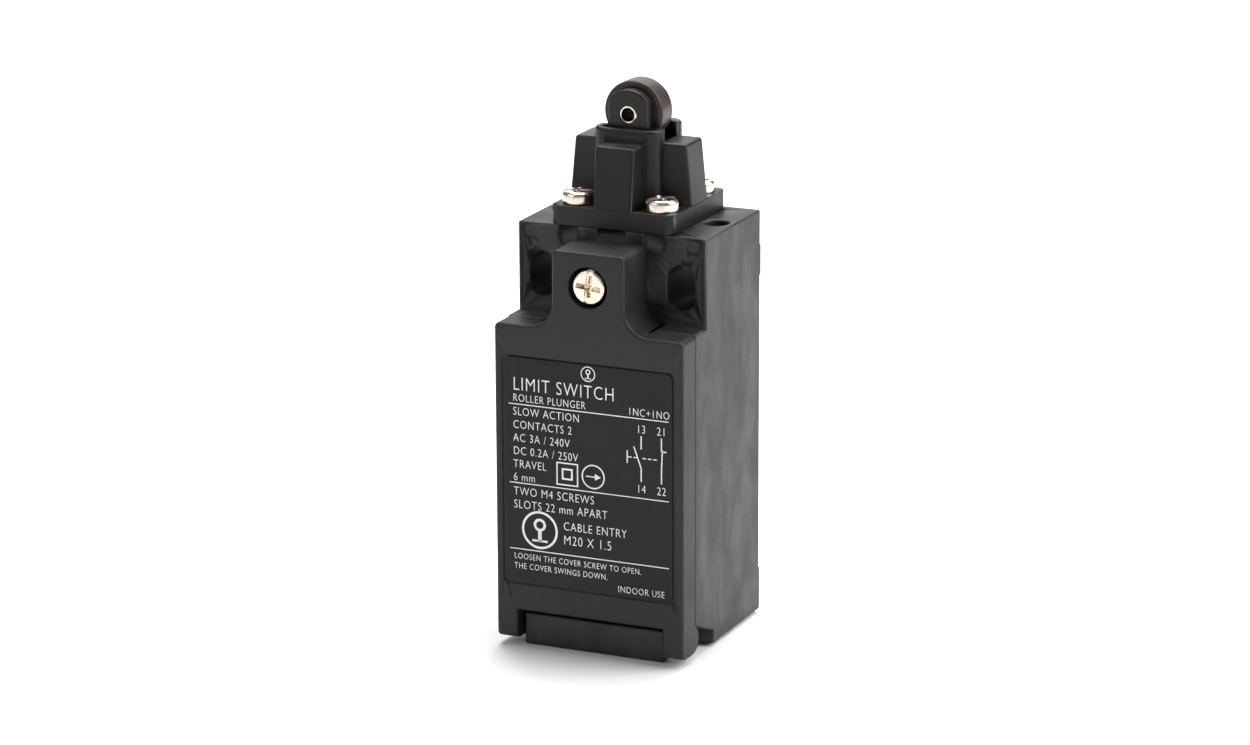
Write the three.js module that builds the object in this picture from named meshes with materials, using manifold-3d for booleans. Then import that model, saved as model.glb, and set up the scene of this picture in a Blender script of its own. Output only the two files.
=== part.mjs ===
// Compact roller-plunger limit switch, 30 mm wide, with a 22 mm slot spacing.
// Millimetres, +Z up. The origin is midway between the two mounting slots, on the plane of the rear
// mounting pads; +Y points into the machine wall that the switch is screwed to, +X to the right as
// seen from the front.
import * as THREE from 'three';
import { mergeVertices } from 'three/addons/utils/BufferGeometryUtils.js';
import Module from 'manifold-3d';

const wasm = await Module();
wasm.setup();

// ---- Driving dimensions -------------------------------------------------------------------------

const SIDES = { fine: 40, plain: 28, small: 16, tiny: 12 }; // facets of a round surface
const FIT_GAP = 0.05; // between fixed pieces that are nested in each other
const SEAM_GAP = 0.15; // between the cover and the housing

const HOUSING = {
  halfWidth: 15,
  rearY: -0.35,
  upperFrontY: -20.85,
  seamY: -24.75,
  topZ: 7.6,
  shoulderZ: -5.7,
  footZ: -54.7,
};

const CAVITY = { halfWidth: 12.6, rearY: -2.4, topZ: -7.5, bottomZ: -45 };

const PADS = { upper: [-2.5, 2.4], lower: [-54.7, -47.8] };
const TOP_HOLE = { x: 12.2, y: -10.55, radius: 1.85, floorZ: 4.3 };
const SLOT = { x: 11, width: 4.4, length: 6.8, chamfer: 0.2, flat: 0.01 };
const FRONT_MARKS = { z: 6.3, depth: 0.15, outerX: 13, outerRadius: 1.1, innerX: 6.8, innerRadius: 1.9 };
const TOP_NICK = { halfWidth: 2.25, depth: 0.6, height: 0.9 };

// The cover swings on two trunnions at its foot.
const HINGE = {
  y: -25.6,
  z: -51.8,
  barrel: 2.05,
  trunnion: 1.0,
  trunnionTip: 12.75,
  hole: 1.15,
  holeEnd: 12.95,
};
const LIP = { halfWidth: 11.25, frontY: -27.8, topZ: -50.2, bottomZ: -55.05, rearY: -1.5 };
const NOTCH = { seamZ: -49.75, rearZ: -52.6, rearY: -17.95 };
const CONDUIT = { y: -12.2, radius: 9.25 };

const COVER = {
  frontY: -29.35,
  wall: 1.95,
  cavityTopZ: -8.1,
  cavityBottomZ: -46.5,
  bottomZ: -53.85,
  windowHalfWidth: 11.6,
  windowTopZ: -49.45,
  bandBottomZ: -48.75,
  cornerRadius: 0.8,
};
const TONGUE = { halfWidth: 5.72, topZ: 6.0, fillet: 3.8, rearY: -21.0, underZ: -5.55 };
const RIM_GASKET = { halfWidth: 14.2, topZ: -6.5, bottomZ: -48.0, section: 1.0, depth: 1.1, corner: 2.0 };
const LABEL_RECESS = { halfWidth: 13.9, topZ: -10.3, bottomZ: -45.4, depth: 0.25, corner: 1.0 };
const NAMEPLATE = { halfWidth: 13.3, topZ: -10.6, bottomZ: -45.1, thickness: 0.2, corner: 0.8 };

const COVER_SCREW = {
  z: 0.9,
  headRadius: 2.6,
  headFrontY: -29.1,
  headRearY: -27.2,
  shankRadius: 1.45,
  tipY: -21.5,
  recessRadius: 3.08,
  holeRadius: 1.75,
  rounding: 0.3,
};
const BOSS = { radius: 3.2, frontY: -25.0, pocketRadius: 3.8, pocketFrontY: -25.6 };
const INSERT = { radius: 2.3, bore: 1.75, rearY: -20.9, holeEndY: -19.0 };
const RETAINER = { outer: 3.6, inner: 1.6, frontY: -25.55, rearY: -25.15 };

const HEAD = {
  y: -10.95,
  half: 9.85,
  corner: 1.5,
  plateTopZ: 10.5,
  armHalfWidth: 3.1,
  armFoot: 9.73,
  armTop: 8.85,
  armTopZ: 19.6,
  columnFoot: 5.3,
  columnCorner: 2.0,
  topZ: 21.6,
  counterboreRadius: 5.6,
  counterboreTopZ: 11.1,
  rollerSlotHalfWidth: 2.25,
  rollerSlotHalfLength: 4.95,
  rollerSlotFloorZ: 12.5,
};
const GUIDE = { halfX: 3.25, halfY: 4.05 };
const THROAT = { radius: 5.7, floorZ: -2.8, stemHole: 2.4 };
const HEAD_SCREW = {
  offset: 6.65,
  headRadius: 2.43,
  headHeight: 1.8,
  shank: 1.45,
  length: 8,
  clearance: 1.7,
  tapped: 1.6,
  tapRoom: 0.4,
  rounding: 0.6,
};
const HEAD_GASKET = { inner: 6.3, outer: 7.5, height: 0.9, groove: 1.0 };

const PLUNGER = {
  halfX: 3.1,
  halfY: 3.9,
  earInner: 2.1,
  earArc: 3.7,
  crotchZ: 18.5,
  flangeRadius: 5.3,
  flangeZ: [9.5, 11.0],
  stemRadius: 1.8,
  stemTipZ: -7.4,
};
const ROLLER = { z: 23.5, radius: 4.65, halfWidth: 1.95, bore: 1.55, chamfer: 0.3 };
const PIN = { radius: 1.33, bore: 0.97 };
const SEAT = { inner: 2.1, outer: 5.4, z: [-0.9, -0.4] };
const SEAL = { inner: 2.0, outer: 5.4, z: [-2.6, -0.95] };

const BLOCK = { halfWidth: 12, rearY: -3, frontY: -17.5, topZ: -8, bottomZ: -36 };
const CHAMBER = { halfX: 8, halfY: 3.6, topZ: -10, bottomZ: -34 };
const BLOCK_SCREW = {
  x: 10,
  z: -21.5,
  shank: 1.2,
  hole: 1.35,
  headRadius: 2.2,
  headHeight: 1.4,
  tipY: -1.2,
  holeEndY: -1.1,
  pad: 2.4,
};
const CARRIER = {
  halfX: 2.4,
  halfY: 2.6,
  topZ: -7.5,
  bottomZ: -25.5,
  windowHalfY: 1.6,
  clearance: 0.15,
};
const NC_WINDOW = [-16.3, -12.5];
const NO_WINDOW = [-22.85, -17.3];
const BRIDGE = {
  halfX: 7,
  halfY: 1.4,
  thickness: 0.8,
  padX: 6,
  padRadius: 1.2,
  padHeight: 0.4,
  padBite: 0.2,
};
const NC_BRIDGE_Z = -13.9; // underside
const NO_BRIDGE_Z = -22.8; // underside
const TERMINAL = {
  innerX: 4.6,
  outerX: 10.9,
  leafHalfY: 1.5,
  armInnerX: 8.1,
  thickness: 0.8,
  tabX: [5.7, 11.3],
  tabDrop: 5.6,
  screwX: 8.5,
  screwDrop: 3.0,
};
const NC_LEAF_TOP_Z = -11.4;
const NO_LEAF_TOP_Z = -26.6;
const CONTACT_RIVET = { radius: 1.3, height: 0.4, ncHeight: 0.45 };
const CLAMP = { half: 2.7, thickness: 0.8, hole: 1.6 };
const RETURN_SPRING = { meanRadius: 3.4, wire: 0.6, turns: 5 };
const CARRIER_SPRING = { meanRadius: 1.6, wire: 0.4, turns: 4 };
const NC_SPRING = { meanRadius: 1.05, wire: 0.35, turns: 3 };
const NO_SPRING = { meanRadius: 1.05, wire: 0.35, turns: 4 };
const TERMINAL_SCREW = {
  headRadius: 2.5,
  headHeight: 2.0,
  shank: 1.4,
  tipY: -15.4,
  hole: 1.65,
  holeEndY: -15.2,
};

// ---- Solids -------------------------------------------------------------------------------------

// How finely a spring is made, and the room at its ends in wire thicknesses.
const COIL = { stepsPerTurn: 10, wireSegments: 3, endRoom: 0.7 };
// A screw's tapered tip, and its cross recess as shares of its head.
const SCREW_TIP = { taper: 0.3, length: 0.4 };
const CROSS = { span: 0.6, width: 0.24, depth: 0.6 };
// How far a solid runs into the one it is joined to.
const BITE = 0.5;
// The facets of a quarter turn on the outlines that show.
const ROUND = 6;

// The unit directions that a flat shape's u, v and the extrusion follow, for each extrusion axis.
const X = new THREE.Vector3(1, 0, 0);
const Y = new THREE.Vector3(0, 1, 0);
const Z = new THREE.Vector3(0, 0, 1);
const FRAMES = {
  x: new THREE.Matrix4().makeBasis(Y, Z, X),
  y: new THREE.Matrix4().makeBasis(X, Z, Y.clone().negate()),
  z: new THREE.Matrix4(),
};

/** A manifold-3d solid from a closed three.js geometry. */
function solid(geometry) {
  const bare = geometry.clone();
  bare.deleteAttribute('normal');
  bare.deleteAttribute('uv');
  const merged = mergeVertices(bare, 1e-5);
  const corners = Array.from(merged.index.array);
  const triVerts = [];
  for (let i = 0; i < corners.length; i += 3) {
    const [a, b, c] = corners.slice(i, i + 3);
    if (a !== b && b !== c && c !== a) triVerts.push(a, b, c);
  }
  const mesh = new wasm.Mesh({
    numProp: 3,
    vertProperties: merged.attributes.position.array,
    triVerts: new Uint32Array(triVerts),
  });
  return new wasm.Manifold(mesh);
}

/** A flat shape pushed along an axis; it is drawn in (y, z), (x, z) or (x, y) for x, y and z. */
function extrude(shape, axis, from, to, curveSegments = 4) {
  const options = { depth: to - from, bevelEnabled: false, curveSegments };
  const geometry = new THREE.ExtrudeGeometry(shape, options);
  geometry.applyMatrix4(FRAMES[axis]);
  const start = axis === 'y' ? to : from;
  geometry.translate(axis === 'x' ? start : 0, axis === 'y' ? start : 0, axis === 'z' ? start : 0);
  return solid(geometry);
}

function box([x0, x1], [y0, y1], [z0, z1]) {
  const geometry = new THREE.BoxGeometry(x1 - x0, y1 - y0, z1 - z0);
  geometry.translate((x0 + x1) / 2, (y0 + y1) / 2, (z0 + z1) / 2);
  return solid(geometry);
}

function polygon(points) {
  return new THREE.Shape(points.map(([u, v]) => new THREE.Vector2(u, v)));
}

/** A rectangle with round corners. */
function roundedRect([u0, u1], [v0, v1], radius) {
  const shape = new THREE.Shape();
  shape.moveTo(u0 + radius, v0);
  shape.absarc(u1 - radius, v0 + radius, radius, -Math.PI / 2, 0);
  shape.absarc(u1 - radius, v1 - radius, radius, 0, Math.PI / 2);
  shape.absarc(u0 + radius, v1 - radius, radius, Math.PI / 2, Math.PI);
  shape.absarc(u0 + radius, v0 + radius, radius, Math.PI, 1.5 * Math.PI);
  return shape;
}

function circle(u, v, radius) {
  return new THREE.Shape().absarc(u, v, radius, 0, 2 * Math.PI);
}

/** A round bar along an axis, centred on (u, v) of the plane across it. */
function bar(axis, [u, v], radius, from, to, sides = SIDES.plain) {
  return extrude(circle(u, v, radius), axis, from, to, sides / 2);
}

function tube(axis, centre, outer, inner, from, to, sides = SIDES.plain) {
  const bore = bar(axis, centre, inner, from - 1, to + 1, sides);
  return bar(axis, centre, outer, from, to, sides).subtract(bore);
}

/** The same solid on the right and on the left. */
function bothSides(build) {
  return build(1).add(build(-1));
}

/** The span that reaches as far to either side of zero. */
function squareSpan(half) {
  return [-half, half];
}

/** The ends of a span in order, on the right or on the left. */
function sideSpan(side, inner, outer) {
  return side > 0 ? [inner, outer] : [-outer, -inner];
}

class Helix extends THREE.Curve {
  constructor(radius, from, to, turns) {
    super();
    Object.assign(this, { radius, from, to, turns });
  }

  getPoint(t, target = new THREE.Vector3()) {
    const angle = 2 * Math.PI * this.turns * t;
    const z = this.from + (this.to - this.from) * t;
    return target.set(this.radius * Math.cos(angle), this.radius * Math.sin(angle), z);
  }
}

/** A helical wire between two heights, centred on the head's axis. */
function coilSpring({ meanRadius, wire, turns }, [z0, z1]) {
  const path = new Helix(meanRadius, z0 + wire * COIL.endRoom, z1 - wire * COIL.endRoom, turns);
  const section = circle(0, 0, wire / 2);
  const options = {
    steps: turns * COIL.stepsPerTurn,
    bevelEnabled: false,
    extrudePath: path,
    curveSegments: COIL.wireSegments,
  };
  return solid(new THREE.ExtrudeGeometry(section, options)).translate([0, HEAD.y, 0]);
}

// ---- Finishes -----------------------------------------------------------------------------------

const FINISH = {
  plastic: { color: 0x3b3b3c, roughness: 0.55, metalness: 0 },
  headPlastic: { color: 0x39342f, roughness: 0.45, metalness: 0 },
  rollerPlastic: { color: 0x574c48, roughness: 0.5, metalness: 0 },
  label: { color: 0x2e2f33, roughness: 0.4, metalness: 0 },
  nickel: { color: 0xe0d3c0, roughness: 0.25, metalness: 1 },
  steel: { color: 0xb9bcc0, roughness: 0.3, metalness: 1 },
  brass: { color: 0xc9a55a, roughness: 0.3, metalness: 1 },
  silver: { color: 0xe8e8ea, roughness: 0.3, metalness: 1 },
  rubber: { color: 0x151515, roughness: 0.85, metalness: 0 },
  ivory: { color: 0xd9d3c2, roughness: 0.5, metalness: 0 },
  white: { color: 0xe9e7e0, roughness: 0.5, metalness: 0 },
};

const group = new THREE.Group();

/** Adds one named piece to a parent, with its own material. */
function piece(name, manifold, finish, parent = group) {
  const { vertProperties, triVerts } = manifold.getMesh();
  const geometry = new THREE.BufferGeometry();
  geometry.setAttribute('position', new THREE.BufferAttribute(vertProperties, 3));
  geometry.setIndex(new THREE.BufferAttribute(triVerts, 1));
  geometry.computeVertexNormals();
  const mesh = new THREE.Mesh(geometry, new THREE.MeshStandardMaterial(FINISH[finish]));
  mesh.name = name;
  parent.add(mesh);
  return mesh;
}

// ---- Housing ------------------------------------------------------------------------------------

function mountingSlot(side) {
  const { x, width, length, chamfer } = SLOT;
  const span = (grow) => [side * x - width / 2 - grow, side * x + width / 2 + grow];
  const rise = (grow) => [-length / 2 - grow, length / 2 + grow];
  const outline = roundedRect(span(0), rise(0), width / 2 - SLOT.flat);
  const slot = extrude(outline, 'y', HOUSING.upperFrontY - 1, 1, ROUND);
  const mouth = extrude(
    roundedRect(span(chamfer), rise(chamfer), width / 2 + chamfer - SLOT.flat),
    'y',
    HOUSING.upperFrontY - 1,
    HOUSING.upperFrontY + chamfer,
    ROUND,
  );
  return slot.add(mouth);
}

function housingBlank() {
  const { halfWidth, rearY, upperFrontY, seamY, topZ, shoulderZ, footZ } = HOUSING;
  const profile = polygon([
    [rearY, footZ],
    [rearY, topZ],
    [upperFrontY, topZ],
    [upperFrontY, shoulderZ],
    [seamY, shoulderZ],
    [seamY, footZ],
  ]);
  const pads = Object.values(PADS).map((z) => box(squareSpan(halfWidth), [rearY - 1, 0], z));
  const lipSection = polygon([
    [LIP.rearY, footZ + 1],
    [LIP.rearY, LIP.bottomZ],
    [LIP.frontY, LIP.bottomZ],
    [LIP.frontY, LIP.topZ],
    [seamY + 1, LIP.topZ],
  ]);
  const lip = extrude(lipSection, 'x', -LIP.halfWidth, LIP.halfWidth);
  return extrude(profile, 'x', -halfWidth, halfWidth).add(pads[0]).add(pads[1]).add(lip);
}

/** The open corner beside the lip, in which a foot of the cover turns. */
function hingeNotch(side) {
  const outline = polygon([
    [HOUSING.seamY - 1, NOTCH.seamZ],
    [HOUSING.seamY, NOTCH.seamZ],
    [NOTCH.rearY, NOTCH.rearZ],
    [NOTCH.rearY, HOUSING.footZ - 1],
    [HOUSING.seamY - 1, HOUSING.footZ - 1],
  ]);
  return extrude(outline, 'x', ...sideSpan(side, LIP.halfWidth, HOUSING.halfWidth + 1));
}

function trunnion(side) {
  const span = sideSpan(side, LIP.halfWidth - 1, HINGE.trunnionTip);
  return bar('x', [HINGE.y, HINGE.z], HINGE.trunnion, ...span, SIDES.small);
}

/** Shallow round marks on the upper front face, and the nick in its top edge. */
function frontMarks() {
  const { z, depth, outerX, outerRadius, innerX, innerRadius } = FRONT_MARKS;
  const faceY = HOUSING.upperFrontY;
  const mark = (x, radius) => bar('y', [x, z], radius, faceY - 1, faceY + depth, SIDES.plain);
  const marks = bothSides((side) => mark(side * outerX, outerRadius).add(mark(side * innerX, innerRadius)));
  const nickZ = [HOUSING.topZ - TOP_NICK.height, HOUSING.topZ + 1];
  return marks.add(box(squareSpan(TOP_NICK.halfWidth), [faceY - 1, faceY + TOP_NICK.depth], nickZ));
}

/** A bar on the axis of a screw that holds the contact block. */
function blockScrewBar(side, radius, from, to) {
  return bar('y', [side * BLOCK_SCREW.x, BLOCK_SCREW.z], radius, from, to, SIDES.small);
}

function housing() {
  const { halfWidth, rearY, topZ, bottomZ } = CAVITY;
  const cavity = box(squareSpan(halfWidth), [HOUSING.seamY - 1, rearY], [bottomZ, topZ]);
  const conduit = bar('z', [0, CONDUIT.y], CONDUIT.radius, LIP.bottomZ - 1, bottomZ + 1, SIDES.fine);
  const throat = bar('z', [0, HEAD.y], THROAT.radius, THROAT.floorZ, HOUSING.topZ + 1);
  const stemHole = bar('z', [0, HEAD.y], THROAT.stemHole, topZ - 1, THROAT.floorZ + 1);
  const topHoles = bothSides((side) => {
    const place = [side * TOP_HOLE.x, TOP_HOLE.y];
    return bar('z', place, TOP_HOLE.radius, TOP_HOLE.floorZ, HOUSING.topZ + 1, SIDES.small);
  });
  const tapFloorZ = HEAD.plateTopZ - HEAD_SCREW.length - HEAD_SCREW.tapRoom;
  const tapped = HEAD_SCREW_PLACES.map((place) =>
    bar('z', place, HEAD_SCREW.tapped, tapFloorZ, HOUSING.topZ + 1, SIDES.small),
  );
  const screwAxis = [0, COVER_SCREW.z];
  const boss = bar('y', screwAxis, BOSS.radius, BOSS.frontY, HOUSING.upperFrontY + 1);
  const insertHole = bar('y', screwAxis, INSERT.radius + FIT_GAP, BOSS.frontY - 1, INSERT.rearY + FIT_GAP);
  const tipHole = bar('y', screwAxis, INSERT.bore + FIT_GAP, INSERT.rearY - 1, INSERT.holeEndY);
  const blockPads = bothSides((side) =>
    blockScrewBar(side, BLOCK_SCREW.pad, BLOCK.rearY, rearY + BITE),
  );
  const blockHoles = bothSides((side) =>
    blockScrewBar(side, BLOCK_SCREW.hole, BLOCK.rearY - 1, BLOCK_SCREW.holeEndY),
  );
  let body = housingBlank().subtract(bothSides(hingeNotch)).add(bothSides(trunnion)).add(boss);
  body = body.subtract(cavity).subtract(conduit).subtract(throat).subtract(stemHole);
  body = body.subtract(bothSides(mountingSlot)).subtract(topHoles).subtract(frontMarks());
  for (const hole of tapped) body = body.subtract(hole);
  return body.subtract(insertHole).subtract(tipHole).add(blockPads).subtract(blockHoles);
}

// ---- Cover --------------------------------------------------------------------------------------

/** The cover seen from the front: shoulders, then a tongue that rises between the mounting slots. */
function coverOutline() {
  const { cornerRadius: r, bottomZ } = COVER;
  const { halfWidth, shoulderZ } = HOUSING;
  const { halfWidth: tongue, fillet, topZ } = TONGUE;
  const shape = new THREE.Shape();
  shape.moveTo(-halfWidth, bottomZ);
  shape.lineTo(halfWidth, bottomZ);
  shape.absarc(halfWidth - r, shoulderZ - r, r, 0, Math.PI / 2);
  shape.absarc(tongue + fillet, shoulderZ + fillet, fillet, 1.5 * Math.PI, Math.PI, true);
  shape.absarc(tongue - r, topZ - r, r, 0, Math.PI / 2);
  shape.absarc(-tongue + r, topZ - r, r, Math.PI / 2, Math.PI);
  shape.absarc(-tongue - fillet, shoulderZ + fillet, fillet, 0, -Math.PI / 2, true);
  shape.absarc(-halfWidth + r, shoulderZ - r, r, Math.PI / 2, Math.PI);
  return shape;
}

/** A foot of the cover seen from the side, round behind where it turns in the housing's notch. */
function coverFoot(side) {
  const { frontY, bottomZ, cornerRadius: r, windowTopZ } = COVER;
  const rimY = HOUSING.seamY - SEAM_GAP;
  const rimAngle = Math.acos((rimY - HINGE.y) / HINGE.barrel);
  const shape = new THREE.Shape();
  shape.moveTo(frontY, windowTopZ + 1);
  shape.lineTo(frontY, bottomZ + r);
  shape.absarc(frontY + r, bottomZ + r, r, Math.PI, 1.5 * Math.PI);
  shape.absarc(HINGE.y, HINGE.z, HINGE.barrel, -Math.PI / 2, rimAngle);
  shape.lineTo(rimY, windowTopZ + 1);
  return extrude(shape, 'x', ...sideSpan(side, COVER.windowHalfWidth, HOUSING.halfWidth), ROUND);
}

function gasketRing(grow, from, to) {
  const { halfWidth, topZ, bottomZ, section, corner } = RIM_GASKET;
  const ring = (offset, radius) =>
    roundedRect([-halfWidth - offset, halfWidth + offset], [bottomZ - offset, topZ + offset], radius);
  const outer = extrude(ring(grow, corner), 'y', from, to);
  const inner = extrude(ring(-section - grow, corner - section), 'y', from - 1, to + 1);
  return outer.subtract(inner);
}

function cover() {
  const { halfWidth } = HOUSING;
  const { frontY, wall, cavityTopZ, cavityBottomZ, bottomZ, windowHalfWidth, windowTopZ } = COVER;
  const rimY = HOUSING.seamY - SEAM_GAP;
  const axis = [0, COVER_SCREW.z];
  const front = extrude(coverOutline(), 'y', frontY, rimY);
  const tongueBack = extrude(coverOutline(), 'y', rimY - 1, TONGUE.rearY).intersect(
    box(squareSpan(halfWidth), [rimY - 2, 0], [TONGUE.underZ, TONGUE.topZ + 1]),
  );
  const footZone = box([-halfWidth - 1, halfWidth + 1], [frontY - 1, 0], [bottomZ - 1, windowTopZ]);
  let body = front.subtract(footZone).add(tongueBack).add(bothSides(coverFoot));
  const cavityY = [frontY + wall, rimY + 1];
  const cavity = box(squareSpan(CAVITY.halfWidth), cavityY, [cavityBottomZ, cavityTopZ]);
  const window = box(squareSpan(windowHalfWidth), [frontY - 1, 0], [bottomZ - 1, windowTopZ]);
  const lipRoom = box(squareSpan(windowHalfWidth), [frontY + wall, 0], [windowTopZ - 1, COVER.bandBottomZ]);
  const bossPocket = bar('y', axis, BOSS.pocketRadius, BOSS.pocketFrontY, TONGUE.rearY + 1);
  const screwRecess = bar('y', axis, COVER_SCREW.recessRadius, frontY - 1, COVER_SCREW.headRearY);
  const screwHole = bar('y', axis, COVER_SCREW.holeRadius, frontY, BOSS.pocketFrontY + 1);
  const { halfWidth: labelHalf, topZ, bottomZ: labelBottom, depth, corner } = LABEL_RECESS;
  const labelRecess = extrude(
    roundedRect([-labelHalf, labelHalf], [labelBottom, topZ], corner),
    'y',
    frontY - 1,
    frontY + depth,
  );
  const groove = gasketRing(FIT_GAP, rimY - RIM_GASKET.depth + SEAM_GAP, rimY + 1);
  const hingeHoles = bothSides((side) => {
    const span = sideSpan(side, windowHalfWidth - 1, HINGE.holeEnd);
    return bar('x', [HINGE.y, HINGE.z], HINGE.hole, ...span, SIDES.small);
  });
  const hollows = [cavity, window, lipRoom, bossPocket, groove];
  const cuts = [...hollows, screwRecess, screwHole, labelRecess, hingeHoles];
  for (const cut of cuts) body = body.subtract(cut);
  return body;
}

function nameplate() {
  const { halfWidth, topZ, bottomZ, thickness, corner } = NAMEPLATE;
  const backY = COVER.frontY + LABEL_RECESS.depth;
  const outline = roundedRect(squareSpan(halfWidth), [bottomZ, topZ], corner);
  return extrude(outline, 'y', backY - thickness, backY);
}

/** A cross recess for a screwdriver, cut down from the top of a head at z = 0. */
function crossRecess(span, width, depth) {
  const wing = box([-span, span], [-width / 2, width / 2], [-depth, 1]);
  return wing.add(wing.rotate([0, 0, 90]));
}

/** A round screw standing on z = 0 under its head, its shank going down. */
function screw({ headRadius, headHeight, shankRadius, shankLength, rounding = 0.5 }) {
  const profile = [
    [0, -shankLength],
    [shankRadius - SCREW_TIP.taper, -shankLength],
    [shankRadius, -shankLength + SCREW_TIP.length],
    [shankRadius, 0],
    [headRadius, 0],
    [headRadius, headHeight - rounding],
    [headRadius - rounding, headHeight],
    [0, headHeight],
  ];
  const turned = new THREE.LatheGeometry(
    profile.map(([r, z]) => new THREE.Vector2(r, z)),
    SIDES.small,
  );
  turned.rotateX(Math.PI / 2);
  const { span, width, depth } = CROSS;
  const recess = crossRecess(headRadius * span, headRadius * width, headHeight * depth);
  return solid(turned).subtract(recess.translate([0, 0, headHeight]));
}

// ---- Head and plunger ---------------------------------------------------------------------------

const HEAD_SCREW_PLACES = [
  [-HEAD_SCREW.offset, HEAD.y - HEAD_SCREW.offset],
  [HEAD_SCREW.offset, HEAD.y - HEAD_SCREW.offset],
  [-HEAD_SCREW.offset, HEAD.y + HEAD_SCREW.offset],
  [HEAD_SCREW.offset, HEAD.y + HEAD_SCREW.offset],
];
const HEAD_SCREW_NAMES = ['front_left', 'front_right', 'rear_left', 'rear_right'];

/** A bar of the head's cross, narrowing a little towards its top. */
function crossArm() {
  const foot = HOUSING.topZ + 1;
  const { armFoot, armTop, armTopZ, plateTopZ, armHalfWidth } = HEAD;
  const section = polygon([
    [-armFoot, foot],
    [armFoot, foot],
    [armFoot, plateTopZ],
    [armTop, armTopZ],
    [-armTop, armTopZ],
    [-armFoot, plateTopZ],
  ]);
  return extrude(section, 'y', -armHalfWidth, armHalfWidth);
}

function head() {
  const { half, corner, plateTopZ, columnFoot, columnCorner, topZ, armTopZ } = HEAD;
  const { rollerSlotHalfWidth, rollerSlotHalfLength, rollerSlotFloorZ, counterboreTopZ } = HEAD;
  const { outer, inner, groove } = HEAD_GASKET;
  const square = roundedRect(squareSpan(half), squareSpan(half), corner);
  const plate = extrude(square, 'z', HOUSING.topZ, plateTopZ);
  const foot = squareSpan(columnFoot);
  const column = extrude(roundedRect(foot, foot, columnCorner), 'z', HOUSING.topZ + 1, topZ);
  const slotY = squareSpan(rollerSlotHalfWidth);
  const cuts = [
    bar('z', [0, 0], HEAD.counterboreRadius, HOUSING.topZ - 1, counterboreTopZ),
    box(squareSpan(GUIDE.halfX), squareSpan(GUIDE.halfY), [counterboreTopZ - 1, topZ + 1]),
    box(squareSpan(rollerSlotHalfLength), slotY, [rollerSlotFloorZ, topZ + 1]),
    box(squareSpan(columnFoot + 1), slotY, [armTopZ, topZ + 1]),
    tube('z', [0, 0], outer + FIT_GAP, inner - FIT_GAP, HOUSING.topZ - 1, HOUSING.topZ + groove),
    ...HEAD_SCREW_PLACES.map(([x, y]) =>
      bar('z', [x, y - HEAD.y], HEAD_SCREW.clearance, HOUSING.topZ - 1, plateTopZ + 1, SIDES.small)),
  ];
  let body = plate.add(column).add(crossArm()).add(crossArm().rotate([0, 0, 90]));
  for (const cut of cuts) body = body.subtract(cut);
  return body.translate([0, HEAD.y, 0]);
}

/** An ear of the fork, with an arc over the roller's pin. */
function forkEar([y0, y1]) {
  const { halfX, earArc, crotchZ } = PLUNGER;
  const startAngle = Math.acos(halfX / earArc);
  const shape = new THREE.Shape();
  shape.moveTo(-halfX, crotchZ - 1);
  shape.lineTo(halfX, crotchZ - 1);
  shape.absarc(0, ROLLER.z, earArc, startAngle, Math.PI - startAngle);
  return extrude(shape, 'y', y0, y1, ROUND);
}

function plunger() {
  const { halfX, halfY, earInner, crotchZ, flangeRadius, flangeZ, stemRadius, stemTipZ } = PLUNGER;
  const block = box(squareSpan(halfX), squareSpan(halfY), [flangeZ[1] - BITE, crotchZ]);
  const ears = forkEar([-halfY, -earInner]).add(forkEar([earInner, halfY]));
  const flange = bar('z', [0, 0], flangeRadius, ...flangeZ);
  const stem = bar('z', [0, 0], stemRadius, stemTipZ, flangeZ[0] + BITE, SIDES.small);
  const pinHole = bar('y', [0, ROLLER.z], PIN.radius + FIT_GAP, -halfY - 1, halfY + 1, SIDES.small);
  return block.add(ears).add(flange).add(stem).subtract(pinHole).translate([0, HEAD.y, 0]);
}

/** The roller and its hollow pin lie along Y, centred on their own origin. */
function roller() {
  const { radius, halfWidth, bore, chamfer } = ROLLER;
  const profile = [
    [bore, -halfWidth],
    [radius - chamfer, -halfWidth],
    [radius, -halfWidth + chamfer],
    [radius, halfWidth - chamfer],
    [radius - chamfer, halfWidth],
    [bore, halfWidth],
    [bore, -halfWidth],
  ];
  const points = profile.map(([r, y]) => new THREE.Vector2(r, y));
  return solid(new THREE.LatheGeometry(points, SIDES.fine));
}

function rollerPin() {
  return tube('y', [0, 0], PIN.radius, PIN.bore, -PLUNGER.halfY, PLUNGER.halfY, SIDES.small);
}

// ---- Contact block ------------------------------------------------------------------------------

function blockShell([y0, y1]) {
  const { halfWidth, topZ, bottomZ, frontY, rearY } = BLOCK;
  const { clearance } = CARRIER;
  const blank = box(squareSpan(halfWidth), [y0, y1], [bottomZ, topZ]);
  const chamberY = [HEAD.y - CHAMBER.halfY, HEAD.y + CHAMBER.halfY];
  const carrierY = [HEAD.y - CARRIER.halfY - clearance, HEAD.y + CARRIER.halfY + clearance];
  const cuts = [
    box(squareSpan(CHAMBER.halfX), chamberY, [CHAMBER.bottomZ, CHAMBER.topZ]),
    box(squareSpan(CARRIER.halfX + clearance), carrierY, [CHAMBER.topZ - 1, topZ + 1]),
    bothSides((side) => blockScrewBar(side, BLOCK_SCREW.hole, frontY - 1, rearY + 1)),
  ];
  for (const leafTop of [NC_LEAF_TOP_Z, NO_LEAF_TOP_Z]) {
    cuts.push(bothSides((side) => terminal(side, FIT_GAP).translate([0, 0, leafTop])));
    cuts.push(bothSides((side) => {
      const place = [side * TERMINAL.screwX, leafTop - TERMINAL.screwDrop];
      return bar('y', place, TERMINAL_SCREW.hole, frontY - 1, TERMINAL_SCREW.holeEndY, SIDES.small);
    }));
  }
  return cuts.reduce((body, cut) => body.subtract(cut), blank);
}

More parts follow.
